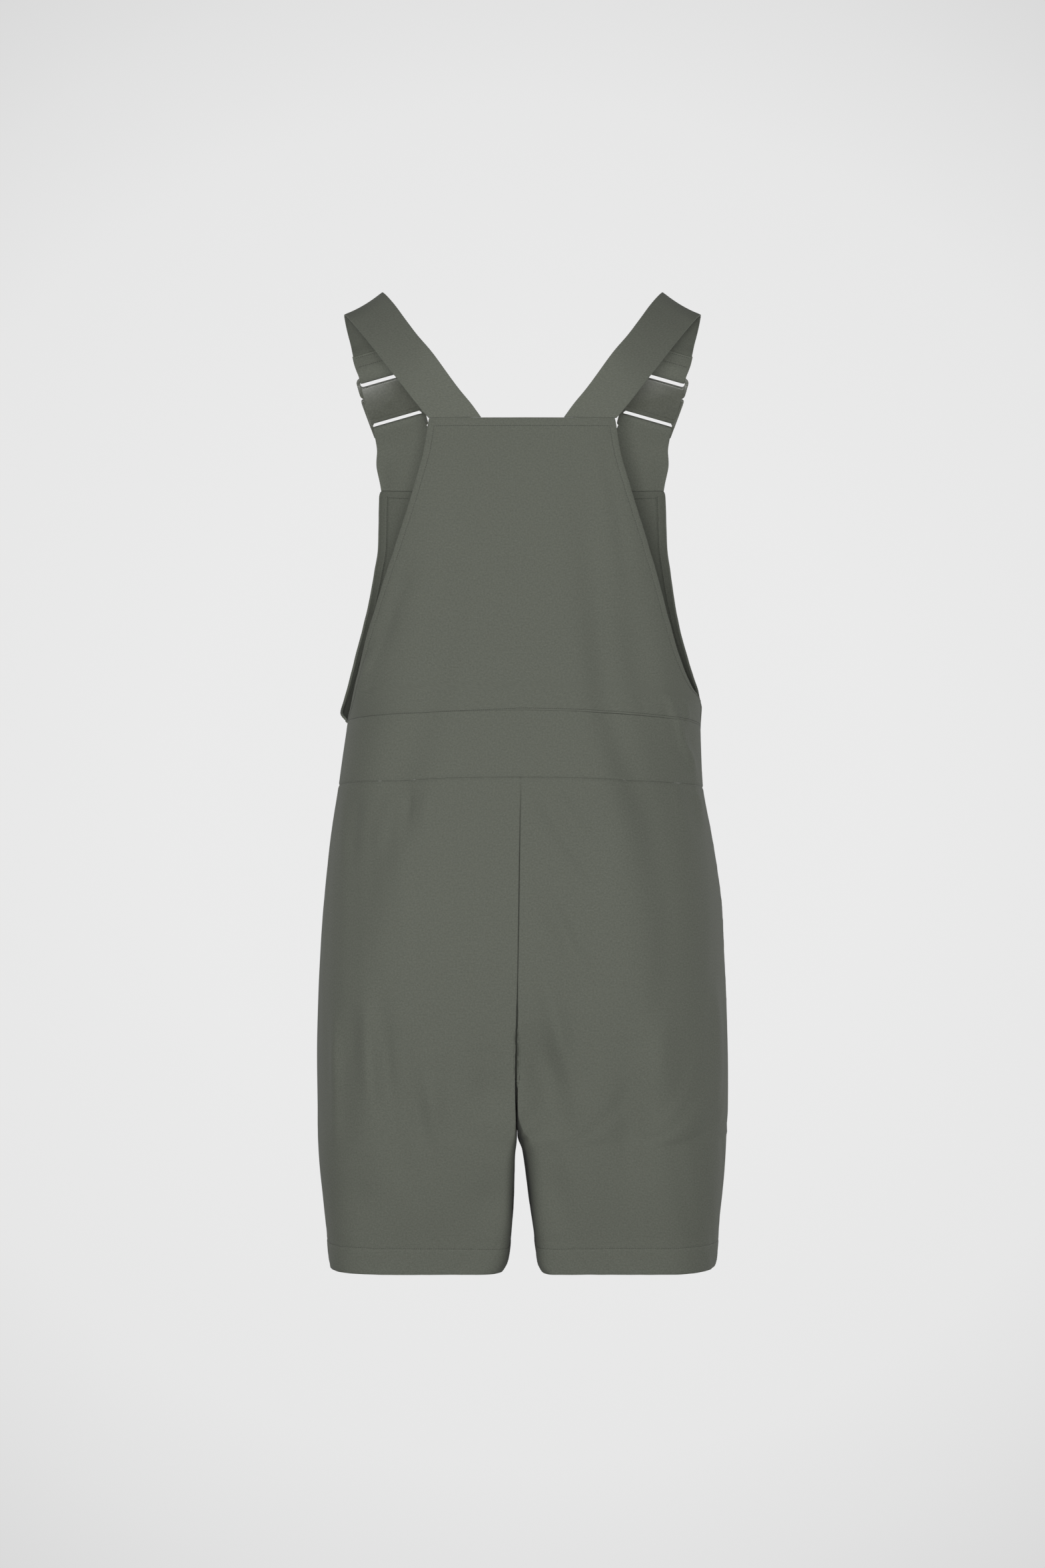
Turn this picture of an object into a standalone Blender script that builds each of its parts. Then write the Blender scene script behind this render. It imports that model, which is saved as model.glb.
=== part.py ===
# Short bib overalls in plain work cloth, filled out as worn, with no wearer.
# Metres, +Z up. The back faces -Y and the wearer's right side is +X.
# The origin is the place that holds it up: midway between the two strap crests.
import math
from collections import namedtuple

import bpy
import numpy as np
from mathutils import Matrix, Vector

for old in list(bpy.data.objects):
    bpy.data.objects.remove(old, do_unlink=True)

MM = 0.001

# Walls, seams and turned edges, in millimetres
CLOTH_WALL = 1.4
HEM_FACTOR = 1.8
SEAM_GAP = 0.3
STRAP_WALL = 1.8
TAB_WALL = 1.6
HEM_DEEP = 25.0
DROP_POWER = 1.8

# Buckle sizes, in millimetres
BUCKLE_WIDE = 58.2
FRAME_WIDE = 57.0
SLOT_WIDE = 50.0
UPPER_EDGE = 17.1
LOWER_EDGE = 17.5
FOOT_TAPER = 0.94
PLATE_THICK = 5.0
HOUSING_THICK = 6.6
BAR_THICK = 3.0
UPPER_BAR = (24.6, 27.8)
LOWER_BAR = (24.2, 34.5)
SPLIT = 6.8
BUCKLE_ORIGIN = (127.6, 90.0, -79.6)
BUCKLE_LEAN = math.radians(16.0)
BUCKLE_TILT = math.radians(20.0)

# Sections of the lower half by height: half widths, depths, flat part, squareness,
# the seam or inseam line, and how far back and forward the rise seam stands
Trunk = namedtuple("Trunk", "z drop_left drop_right left right back front flat square "
                            "in_left in_right round_in rise_back rise_front")
TRUNK = [
    Trunk(-386.6, 10.0, 16.0, 164.8, 168.0, 102, 108, 40, 2.4, 1.0, -1.0, 2.0, 102, 108),
    Trunk(-417.0, 9.3, 13.0, 169.2, 169.2, 103, 109, 42, 2.4, 1.1, -1.1, 2.0, 103, 109),
    Trunk(-447.5, 8.5, 10.5, 173.4, 170.8, 106, 111, 46, 2.4, 1.3, -1.3, 2.0, 106, 111),
    Trunk(-490.0, 6.0, 7.0, 179.3, 178.0, 113, 115, 54, 2.5, 2.2, -2.2, 2.0, 112, 115),
    Trunk(-530.0, 4.0, 4.5, 184.0, 184.2, 119, 117, 62, 2.5, 2.8, -2.8, 2.0, 117, 117),
    Trunk(-570.0, 2.0, 2.0, 187.2, 188.8, 123, 118, 68, 2.5, 3.3, -3.3, 2.0, 120, 117),
    Trunk(-608.0, 0.6, 0.6, 189.2, 190.4, 124, 117, 74, 2.5, 4.0, -4.0, 2.0, 120, 116),
    Trunk(-658.0, 0.0, 0.0, 191.2, 191.9, 121, 114, 80, 2.5, 4.8, -4.8, 2.0, 113, 110),
    Trunk(-709.0, 0.0, 0.0, 192.3, 192.4, 115, 110, 86, 2.5, 5.4, -5.4, 2.0, 100, 100),
    Trunk(-747.0, 0.0, 0.0, 191.9, 191.8, 110, 107, 90, 2.5, 5.6, -5.6, 2.0, 78, 82),
    Trunk(-768.0, 0.0, 0.0, 191.8, 191.3, 108, 105, 92, 2.6, 5.4, -5.4, 2.1, 54, 56),
    Trunk(-780.0, 0.0, 0.0, 191.6, 191.0, 106, 104, 93, 2.6, 5.0, -5.0, 2.35, 26, 28),
    Trunk(-784.0, 0.0, 0.0, 191.5, 190.9, 106, 104, 93, 2.6, 5.0, -5.0, 2.9, 0, 0),
    Trunk(-796.0, 0.0, 0.0, 191.0, 190.2, 104, 103, 94, 2.6, 6.7, -0.8, 2.7, 0, 0),
    Trunk(-822.0, 0.0, 0.0, 189.2, 188.0, 100, 100, 95, 2.7, 7.4, 2.8, 2.45, 0, 0),
    Trunk(-846.0, 0.0, 0.0, 187.2, 186.0, 95, 97, 96, 2.8, 8.0, 5.8, 2.4, 0, 0),
    Trunk(-866.0, 0.0, 0.0, 185.4, 184.6, 90, 94, 97, 2.9, 9.2, 8.8, 2.6, 0, 0),
    Trunk(-886.0, 0.0, 0.0, 183.6, 183.2, 86, 91, 98, 3.0, 11.2, 11.4, 2.8, 0, 0),
    Trunk(-898.0, 0.0, 0.0, 182.4, 182.0, 84, 89, 99, 3.0, 13.4, 13.6, 3.0, 0, 0),
    Trunk(-905.8, 0.0, 0.0, 180.6, 180.4, 83, 88, 99, 3.0, 17.6, 17.4, 3.0, 0, 0),
]

# Sections of the bibs by height, with the half width to each cut edge
Bib = namedtuple("Bib", "z drop_left drop_right left right deep flat square cut_left cut_right")
BACK_BIB = [
    Bib(-119.0, 0.0, 0.0, 150.0, 150.0, 101, 30, 2.6, 85.6, 84.6),
    Bib(-122.5, 0.0, 0.0, 150.5, 150.5, 101, 30, 2.6, 86.4, 85.4),
    Bib(-148.0, 0.0, 0.0, 152.0, 152.0, 104, 31, 2.6, 90.5, 89.5),
    Bib(-184.0, 0.0, 0.0, 155.0, 155.0, 107, 33, 2.5, 100.3, 99.5),
    Bib(-220.0, 0.0, 0.0, 158.0, 158.0, 108, 35, 2.5, 111.8, 111.0),
    Bib(-250.0, 0.2, 0.2, 160.5, 160.5, 108, 36, 2.5, 121.9, 120.2),
    Bib(-270.0, 0.8, 1.0, 162.0, 162.0, 107, 37, 2.4, 128.8, 126.2),
    Bib(-300.0, 2.5, 3.6, 164.0, 164.0, 106, 38, 2.4, 139.2, 135.2),
    Bib(-325.0, 5.0, 7.0, 165.5, 165.5, 104, 39, 2.4, 147.0, 142.9),
    Bib(-345.0, 7.0, 10.0, 166.0, 167.0, 103, 40, 2.4, 151.8, 151.2),
    Bib(-357.0, 8.0, 12.0, 166.2, 168.0, 103, 40, 2.4, 155.4, 158.2),
    Bib(-367.0, 8.7, 13.4, 166.4, 168.4, 102, 40, 2.4, 158.2, 168.4),
    Bib(-386.6, 10.0, 16.0, 164.8, 168.0, 102, 40, 2.4, 164.8, 168.0),
]
FRONT_BIB = [
    Bib(-168.0, 0.0, 0.0, 168.0, 168.0, 109, 50, 4.0, 136.5, 136.3),
    Bib(-170.0, 0.0, 0.0, 168.0, 168.0, 109, 50, 4.0, 138.9, 138.6),
    Bib(-175.0, 0.0, 0.0, 168.0, 168.0, 109, 50, 4.0, 139.9, 139.5),
    Bib(-223.0, 0.0, 0.0, 168.0, 168.0, 111, 50, 3.8, 141.0, 141.2),
    Bib(-250.0, 0.2, 0.2, 168.5, 168.5, 112, 50, 3.5, 144.7, 144.4),
    Bib(-270.0, 0.8, 1.0, 169.0, 169.0, 112, 49, 3.3, 148.2, 147.2),
    Bib(-300.0, 2.5, 3.6, 170.5, 170.0, 112, 47, 3.0, 154.4, 152.2),
    Bib(-325.0, 5.0, 7.0, 172.0, 171.0, 111, 45, 2.8, 160.6, 158.6),
    Bib(-345.0, 7.0, 10.0, 173.4, 171.0, 110, 43, 2.6, 165.3, 164.4),
    Bib(-357.0, 8.0, 12.0, 174.0, 170.6, 110, 42, 2.5, 168.4, 168.4),
    Bib(-367.0, 8.7, 13.4, 174.0, 169.4, 109, 41, 2.5, 171.0, 169.4),
    Bib(-378.0, 9.5, 15.0, 173.2, 168.6, 108, 40, 2.4, 172.8, 168.6),
    Bib(-386.6, 10.0, 16.0, 165.6, 168.0, 108, 40, 2.4, 165.6, 168.0),
]

# The free run of the left strap, edge by edge, from the bib seam over the shoulder
Strap = namedtuple("Strap", "out_x out_y out_z in_x in_y in_z sag")
STRAP = [
    Strap(-86.2, -93.6, -118.7, -37.8, -99.9, -118.7, 0.0),
    Strap(-90.5, -92.6, -113.8, -46.2, -98.6, -107.0, 0.0),
    Strap(-97.0, -90.2, -105.6, -56.6, -96.4, -94.2, 0.0),
    Strap(-114.2, -81.0, -83.0, -83.8, -85.5, -56.4, 0.4),
    Strap(-127.4, -68.0, -65.2, -96.8, -72.0, -40.0, 0.8),
    Strap(-140.4, -52.0, -47.4, -109.2, -54.0, -23.2, 1.2),
    Strap(-153.6, -32.0, -29.6, -120.6, -32.0, -5.8, 1.6),
    Strap(-163.4, -14.0, -17.6, -128.6, -13.0, 5.2, 1.8),
    Strap(-168.4, 2.0, -12.2, -132.2, 3.0, 9.2, 1.8),
    Strap(-168.9, 20.0, -15.0, -131.6, 21.0, 6.0, 1.6),
    Strap(-167.6, 40.0, -22.4, -129.0, 42.0, -3.4, 1.2),
    Strap(-165.2, 58.0, -33.0, -124.6, 60.5, -16.4, 0.8),
]
# The strap's end round the upper bar, in the buckle's own frame: half width, depth, height
Turn = namedtuple("Turn", "half y z")
STRAP_TURN = [
    Turn(24.2, -2.6, 51.0),
    Turn(24.6, -0.3, 43.0),
    Turn(24.6, 1.1, 35.0),
    Turn(24.4, 1.5, 31.7),
    Turn(24.4, 2.8, 28.4),
    Turn(24.4, 2.7, 24.6),
    Turn(24.4, 2.35, 23.75),
    Turn(24.4, 1.5, 23.4),
    Turn(24.4, -1.5, 23.4),
    Turn(24.4, -2.35, 23.75),
    Turn(24.4, -2.7, 24.6),
    Turn(24.4, -2.8, 28.4),
    Turn(24.6, -1.7, 31.7),
    Turn(25.0, -1.1, 35.0),
    Turn(25.4, -2.5, 43.0),
    Turn(25.0, -4.8, 51.0),
]

# Soft troughs (+) and ridges (-) in the cloth, as fractions of the panel's width
Fold = namedtuple("Fold", "panel top low z_top z_low wide deep")
FOLDS = [
    Fold("back_left", 0.72, 0.80, -640, -930, 30, 3.4),
    Fold("back_left", 0.30, 0.42, -700, -930, 26, 2.2),
    Fold("back_left", 0.93, 0.90, -560, -860, 14, -1.6),
    Fold("back_right", 0.26, 0.18, -660, -900, 24, 3.8),
    Fold("back_right", 0.55, 0.48, -690, -930, 28, 2.6),
    Fold("back_right", 0.86, 0.80, -470, -760, 26, 3.0),
    Fold("back_right", 0.97, 0.93, -620, -900, 13, -1.8),
    Fold("front_left", 0.34, 0.26, -600, -930, 30, 3.2),
    Fold("front_left", 0.74, 0.82, -560, -900, 26, 2.6),
    Fold("front_right", 0.30, 0.38, -620, -930, 28, 3.0),
    Fold("front_right", 0.70, 0.62, -580, -930, 30, 2.8),
]

CLOTH_COLOUR = (0.115, 0.125, 0.098)
INSIDE_COLOUR = (0.10, 0.11, 0.085)
PLATE_COLOUR = (0.16, 0.17, 0.14)

collection = bpy.data.collections.new("work_overalls")
bpy.context.scene.collection.children.link(collection)
tools = bpy.data.collections.new("cutters")
bpy.context.scene.collection.children.link(tools)


def make_material(name, colour, roughness, metallic=0.0):
    material = bpy.data.materials.new(name)
    material.use_nodes = True
    shader = material.node_tree.nodes["Principled BSDF"]
    shader.inputs["Base Color"].default_value = (*colour, 1.0)
    shader.inputs["Roughness"].default_value = roughness
    shader.inputs["Metallic"].default_value = metallic
    return material


def read_column(table, name, z):
    # Value of a column at height z, by a monotone cubic through the rows
    xs = [-row.z for row in table]
    ys = [getattr(row, name) for row in table]
    x = min(max(-z, xs[0]), xs[-1])
    k = 0
    while k < len(xs) - 2 and x > xs[k + 1]:
        k += 1

    def slope(i):
        if i == 0 or i == len(xs) - 1:
            j = min(i, len(xs) - 2)
            return (ys[j + 1] - ys[j]) / (xs[j + 1] - xs[j])
        a = (ys[i] - ys[i - 1]) / (xs[i] - xs[i - 1])
        b = (ys[i + 1] - ys[i]) / (xs[i + 1] - xs[i])
        return 0.0 if a * b <= 0 else 2 * a * b / (a + b)

    h = xs[k + 1] - xs[k]
    t = (x - xs[k]) / h
    a = slope(k) * h
    b = slope(k + 1) * h
    return (ys[k] * (2 * t ** 3 - 3 * t ** 2 + 1) + a * (t ** 3 - 2 * t ** 2 + t)
            + ys[k + 1] * (3 * t ** 2 - 2 * t ** 3) + b * (t ** 3 - t ** 2))


def quarter(flat, reach, base, deep, power, steps=48):
    # Quarter of a rounded section from its deepest point out to the reach
    turn = np.linspace(0.0, math.pi / 2, steps)
    x = flat + (reach - flat) * np.sin(turn) ** (2 / power)
    y = base + (deep - base) * np.clip(np.cos(turn), 0, 1) ** (2 / power)
    return np.stack([x, y], axis=1)


def trunk_half(z, side, front):
    # Half of a section as a line from the middle seam or inseam out to the side seam
    name = "left" if side < 0 else "right"
    face = "front" if front else "back"
    wide = read_column(TRUNK, name, z)
    deep = read_column(TRUNK, face, z)
    flat = read_column(TRUNK, "flat", z)
    start = read_column(TRUNK, "in_" + name, z) + SEAM_GAP / 2
    rise = read_column(TRUNK, "rise_" + face, z)
    inner = quarter(flat, start, rise, deep, read_column(TRUNK, "round_in", z))[::-1]
    outer = quarter(flat, wide, 0.0, deep, read_column(TRUNK, "square", z))
    line = np.concatenate([inner, outer[1:]])
    line[:, 0] *= side
    line[:, 1] *= 1 if front else -1
    return line


def walk(line):
    steps = np.linalg.norm(np.diff(line, axis=0), axis=1)
    return np.concatenate([[0.0], np.cumsum(steps)])


def resample(line, count, start_cut=0.0, end_cut=0.0):
    along = walk(line)
    stops = np.linspace(start_cut, along[-1] - end_cut, count)
    x = np.interp(stops, along, line[:, 0])
    y = np.interp(stops, along, line[:, 1])
    return np.stack([x, y], axis=1), stops / along[-1]


def fold_depth(panel, u, z, width):
    depth = 0.0
    for fold in FOLDS:
        if fold.panel != panel or not fold.z_low < z < fold.z_top:
            continue
        t = (z - fold.z_top) / (fold.z_low - fold.z_top)
        centre = fold.top + (fold.low - fold.top) * t
        across = (u - centre) * width / fold.wide
        depth += fold.deep * math.exp(-across * across) * math.sin(math.pi * t) ** 0.8
    return depth


def trunk_row(z, side, front, count, middle_cut):
    name = "left" if side < 0 else "right"
    line = trunk_half(z, side, front)
    points, along = resample(line, count, middle_cut, SEAM_GAP / 2)
    tangent = np.gradient(points, axis=0)
    outward = np.stack([tangent[:, 1], -tangent[:, 0]], axis=1)
    outward /= np.linalg.norm(outward, axis=1)[:, None]
    outward *= side if not front else -side
    width = walk(line)[-1]
    drop = read_column(TRUNK, "drop_" + name, z)
    panel = ("front_" if front else "back_") + name
    row = []
    for point, u, out in zip(points, along, outward):
        inward = fold_depth(panel, u, z, width)
        x, y = point - out * inward
        row.append((x, y, z - drop * u ** DROP_POWER))
    return row


def build_cloth(name, grid, wall, material, flip, thick_rows=0, offset=-1.0):
    rows = len(grid)
    columns = len(grid[0])
    points = [Vector(p) * MM for row in grid for p in row]
    faces = []
    for i in range(rows - 1):
        for j in range(columns - 1):
            a = i * columns + j
            ring = (a, a + columns, a + columns + 1, a + 1)
            faces.append(ring[::-1] if flip else ring)
    mesh = bpy.data.meshes.new(name)
    mesh.from_pydata(points, [], faces)
    mesh.shade_smooth()
    piece = bpy.data.objects.new(name, mesh)
    collection.objects.link(piece)
    piece.data.materials.append(material)
    shell = piece.modifiers.new("wall", "SOLIDIFY")
    shell.thickness = wall * MM
    shell.offset = offset
    shell.use_even_offset = True
    if thick_rows:
        group = piece.vertex_groups.new(name="turned_edge")
        group.add(list(range((rows - thick_rows) * columns, rows * columns)), 1.0, "REPLACE")
        shell.thickness = wall * HEM_FACTOR * MM
        shell.vertex_group = group.name
        shell.thickness_vertex_group = 1 / HEM_FACTOR
    return piece


cloth = make_material("work_cloth", CLOTH_COLOUR, 0.92)
inner_cloth = make_material("facing_cloth", INSIDE_COLOUR, 0.92)
plate = make_material("buckle_plate", PLATE_COLOUR, 0.45)

# Leg panels: four pieces, each from the waist seam to the turned hem
LEG_LEVELS = [-447.8, -470, -500, -535, -570, -605, -640, -668, -690, -710, -728,
              -744, -757, -767, -775, -781, -784, -791, -804, -826, -852, -878.5,
              -880.5, -893, -901, -905.8]
HEM_ROWS = 4
LEG_COLUMNS = 15
for side, side_name in ((-1, "left"), (1, "right")):
    for front, face_name in ((False, "back"), (True, "front")):
        grid = []
        for z in LEG_LEVELS:
            cut = SEAM_GAP / 2 if z <= -775 else 0.0
            row = trunk_row(z, side, front, LEG_COLUMNS, cut)
            grid.append(row)
        flip = (side < 0) != front
        build_cloth(f"{face_name}_leg_{side_name}", grid, CLOTH_WALL, cloth, flip, HEM_ROWS)

# Waistbands: one strip across the back and one across the front
BAND_LEVELS = [-386.9, -407.0, -427.0, -447.5]
BAND_COLUMNS = 12
for front, face_name in ((False, "back"), (True, "front")):
    grid = []
    for z in BAND_LEVELS:
        left = trunk_row(z, -1, front, BAND_COLUMNS, 0.0)
        right = trunk_row(z, 1, front, BAND_COLUMNS, 0.0)
        grid.append(left[::-1] + right[1:])
    build_cloth(f"{face_name}_waistband", grid, CLOTH_WALL, cloth, front)


def bib_half(table, z, side, front, count):
    # Half of a bib section from the middle out to its cut edge
    name = "left" if side < 0 else "right"
    wide = read_column(table, name, z)
    deep = read_column(table, "deep", z)
    flat = read_column(table, "flat", z)
    cut = read_column(table, "cut_" + name, z)
    outer = quarter(flat, wide, 0.0, deep, read_column(table, "square", z), 96)
    line = np.concatenate([np.array([[0.0, deep]]), outer])
    full = walk(line)
    if cut < wide - 0.05:
        end = np.interp(cut, line[:, 0], full)
    else:
        end = full[-1] - SEAM_GAP / 2
    stops = np.linspace(0.0, end, count)
    drop = read_column(table, "drop_" + name, z)
    row = []
    for stop in stops:
        x = side * np.interp(stop, full, line[:, 0])
        y = np.interp(stop, full, line[:, 1]) * (1 if front else -1)
        row.append((x, y, z - drop * (stop / full[-1]) ** DROP_POWER))
    return row


# Bibs: the back one reaches the shoulder blades, the front one the chest
BACK_LEVELS = [-119.0, -122.5, -148, -180, -212, -244, -274, -302, -325, -343,
               -357, -367, -377, -386.6]
FRONT_LEVELS = [-168.0, -170.0, -175.0, -198, -224, -252, -280, -305, -328, -346,
                -359, -370, -378, -383, -386.6]
BIB_COLUMNS = 9
for front, face_name, table, levels in ((False, "back", BACK_BIB, BACK_LEVELS),
                                        (True, "front", FRONT_BIB, FRONT_LEVELS)):
    grid = []
    for z in levels:
        left = bib_half(table, z, -1, front, BIB_COLUMNS)
        right = bib_half(table, z, 1, front, BIB_COLUMNS)
        grid.append(left[::-1] + right[1:])
    build_cloth(f"{face_name}_bib", grid, CLOTH_WALL, cloth, front)


def buckle_matrix(side):
    # Buckle frame: +X across toward the neck on the left side, +Y to the front, +Z up the strap
    x, y, z = BUCKLE_ORIGIN
    place = Matrix.Translation(Vector((side * x, y, z)) * MM)
    lean = Matrix.Rotation(side * BUCKLE_LEAN, 4, "Y")
    tilt = Matrix.Rotation(BUCKLE_TILT, 4, "X")
    return place @ lean @ tilt


def build_strap(side, side_name):
    place = buckle_matrix(side)
    grid = []
    columns = 7
    for s in STRAP:
        row = []
        for k in range(columns):
            t = k / (columns - 1)
            dip = s.sag * 4 * t * (1 - t)
            x = s.out_x + (s.in_x - s.out_x) * t
            y = s.out_y + (s.in_y - s.out_y) * t
            z = s.out_z + (s.in_z - s.out_z) * t - dip
            row.append((x * -side, y, z))
        grid.append(row)
    for turn in STRAP_TURN:
        row = []
        for k in range(columns):
            t = k / (columns - 1)
            point = place @ (Vector((side * turn.half * (1 - 2 * t), turn.y, turn.z)) * MM)
            row.append(tuple(point / MM))
        grid.append(row)
    return build_cloth(f"strap_{side_name}", grid, STRAP_WALL, cloth, side > 0, offset=0.0)


for side, side_name in ((-1, "left"), (1, "right")):
    build_strap(side, side_name)


def make_box(name, wide, thick, bottom, top, home, bevel=0.0):
    # Box about the buckle's own axes, its corners in the flat rounded when asked
    bpy.ops.mesh.primitive_cube_add(size=1.0)
    box = bpy.context.object
    box.name = name
    box.data.name = name
    for vertex in box.data.vertices:
        vertex.co.x *= wide * MM
        vertex.co.y *= thick * MM
        vertex.co.z = (bottom + (vertex.co.z + 0.5) * (top - bottom)) * MM
    for owner in list(box.users_collection):
        owner.objects.unlink(box)
    home.objects.link(box)
    if bevel:
        rounding = box.modifiers.new("corners", "BEVEL")
        rounding.width = bevel * MM
        rounding.segments = 2
    return box


def make_cutter(piece, name, wide, bottom, top):
    cutter = make_box(name, wide, 20.0, bottom, top, tools)
    cutter.hide_render = True
    cutter.display_type = "WIRE"
    cut = piece.modifiers.new(name, "BOOLEAN")
    cut.operation = "DIFFERENCE"
    cut.solver = "EXACT"
    cut.object = cutter
    return cutter


def build_buckle(side, side_name):
    # Two halves that meet across the plate: the strap's frame above, the housing below
    place = buckle_matrix(side)
    upper = make_box(f"buckle_frame_{side_name}", FRAME_WIDE, PLATE_THICK,
                     SPLIT + SEAM_GAP / 2, UPPER_BAR[1], collection, 0.8)
    upper_slot = make_cutter(upper, f"upper_slot_{side_name}", SLOT_WIDE, UPPER_EDGE, UPPER_BAR[0])
    lower = make_box(f"buckle_housing_{side_name}", BUCKLE_WIDE, HOUSING_THICK,
                     -LOWER_BAR[1], SPLIT - SEAM_GAP / 2, collection, 0.9)
    for vertex in lower.data.vertices:
        if vertex.co.z < 0:
            vertex.co.x *= FOOT_TAPER
    lower_slot = make_cutter(lower, f"lower_slot_{side_name}", SLOT_WIDE, -LOWER_BAR[0], -LOWER_EDGE)
    # The bars, which the cloth loops round, are thinner than the plates
    for piece, low, high in ((upper, UPPER_BAR[0] - 2.4, UPPER_BAR[1] + 5),
                             (lower, -LOWER_BAR[1] - 5, -LOWER_BAR[0] + 2.4)):
        for face_sign in (-1, 1):
            relief = make_cutter(piece, f"{piece.name}_relief_{face_sign + 1}", 90.0, low, high)
            for vertex in relief.data.vertices:
                vertex.co.y = vertex.co.y * 0.5 + face_sign * (BAR_THICK / 2 + 5.0) * MM
            relief.matrix_world = place
    for piece in (upper, lower, upper_slot, lower_slot):
        piece.matrix_world = place
    for piece in (upper, lower):
        piece.data.materials.append(plate)


# The tab round the lower bar: half width, depth and height in the buckle's own frame
TAB_TURN = [
    Turn(26.8, 2.6, -42.0),
    Turn(26.0, 2.6, -34.5),
    Turn(24.7, 2.6, -24.2),
    Turn(24.7, 2.28, -23.42),
    Turn(24.7, 1.5, -23.1),
    Turn(24.7, -1.5, -23.1),
    Turn(24.7, -2.28, -23.42),
    Turn(24.7, -2.6, -24.2),
    Turn(26.0, -2.6, -34.5),
    Turn(26.8, -2.4, -42.0),
]
# The tab's foot on the outside of the front bib: height, middle and half width
TAB_FOOT = [(-146.0, 117.2, 25.2), (-164.0, 114.4, 24.2), (-182.0, 112.0, 24.2)]


def front_surface(x, z):
    # Depth of the front bib's outer face at a place across it
    row = bib_half(FRONT_BIB, z, 1, True, 60)
    return np.interp(abs(x), [p[0] for p in row], [p[1] for p in row])


def build_tab(side, side_name):
    place = buckle_matrix(side)
    columns = 7
    grid = []

    def foot_row(z, middle, half, layer):
        row = []
        for k in range(columns):
            t = k / (columns - 1)
            x = middle + half * (1 - 2 * t)
            depth = front_surface(x, max(min(z, -168.0), -386.0))
            row.append((side * x, depth + layer, z))
        return row

    inner = 0.6 + TAB_WALL * 0.5
    outer = inner + TAB_WALL + 0.4
    for z, middle, half in TAB_FOOT[::-1]:
        grid.append(foot_row(z, middle, half, outer))
    for turn in TAB_TURN:
        row = []
        for k in range(columns):
            t = k / (columns - 1)
            point = place @ (Vector((side * turn.half * (1 - 2 * t), turn.y, turn.z)) * MM)
            row.append(tuple(point / MM))
        grid.append(row)
    for z, middle, half in TAB_FOOT:
        grid.append(foot_row(z, middle, half, inner))
    return build_cloth(f"front_tab_{side_name}", grid, TAB_WALL, cloth, side < 0, offset=0.0)


for side, side_name in ((-1, "left"), (1, "right")):
    build_buckle(side, side_name)
    build_tab(side, side_name)
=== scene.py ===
import math

import bpy
import numpy as np
from mathutils import Matrix, Vector


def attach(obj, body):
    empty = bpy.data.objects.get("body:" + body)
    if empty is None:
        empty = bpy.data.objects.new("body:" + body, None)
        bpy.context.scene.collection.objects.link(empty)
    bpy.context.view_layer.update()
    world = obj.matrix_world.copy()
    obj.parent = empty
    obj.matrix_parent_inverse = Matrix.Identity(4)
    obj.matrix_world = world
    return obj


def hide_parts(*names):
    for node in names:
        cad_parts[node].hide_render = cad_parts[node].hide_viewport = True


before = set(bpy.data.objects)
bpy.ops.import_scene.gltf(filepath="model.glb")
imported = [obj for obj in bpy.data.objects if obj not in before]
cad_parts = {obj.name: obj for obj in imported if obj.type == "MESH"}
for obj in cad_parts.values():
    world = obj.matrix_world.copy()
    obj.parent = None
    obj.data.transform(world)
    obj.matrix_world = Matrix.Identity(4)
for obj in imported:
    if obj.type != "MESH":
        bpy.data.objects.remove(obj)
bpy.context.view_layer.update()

mm = 0.001


def deselectAll():
    if bpy.context.object and bpy.context.object.mode != "OBJECT":
        bpy.ops.object.mode_set(mode="OBJECT")
    bpy.ops.object.select_all(action="DESELECT")


def pickOnly(piece):
    deselectAll()
    piece.select_set(True)
    bpy.context.view_layer.objects.active = piece


def applyAll(piece):
    pickOnly(piece)
    for modifier in list(piece.modifiers):
        bpy.ops.object.modifier_apply(modifier=modifier.name)


# ---- finishes

cloth = {
    "colour": (0.128, 0.136, 0.112),
    "dark": (0.107, 0.114, 0.094),
    "light": (0.141, 0.150, 0.125),
    "yarn": 0.00052,
    "roughness": 0.92,
    "sheen": 0.03,
}


def addNode(tree, kind, place, **settings):
    node = tree.nodes.new(kind)
    node.location = place
    for key, value in settings.items():
        if key.startswith("in_"):
            node.inputs[key[3:].replace("_", " ")].default_value = value
        else:
            setattr(node, key, value)
    return node


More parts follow.
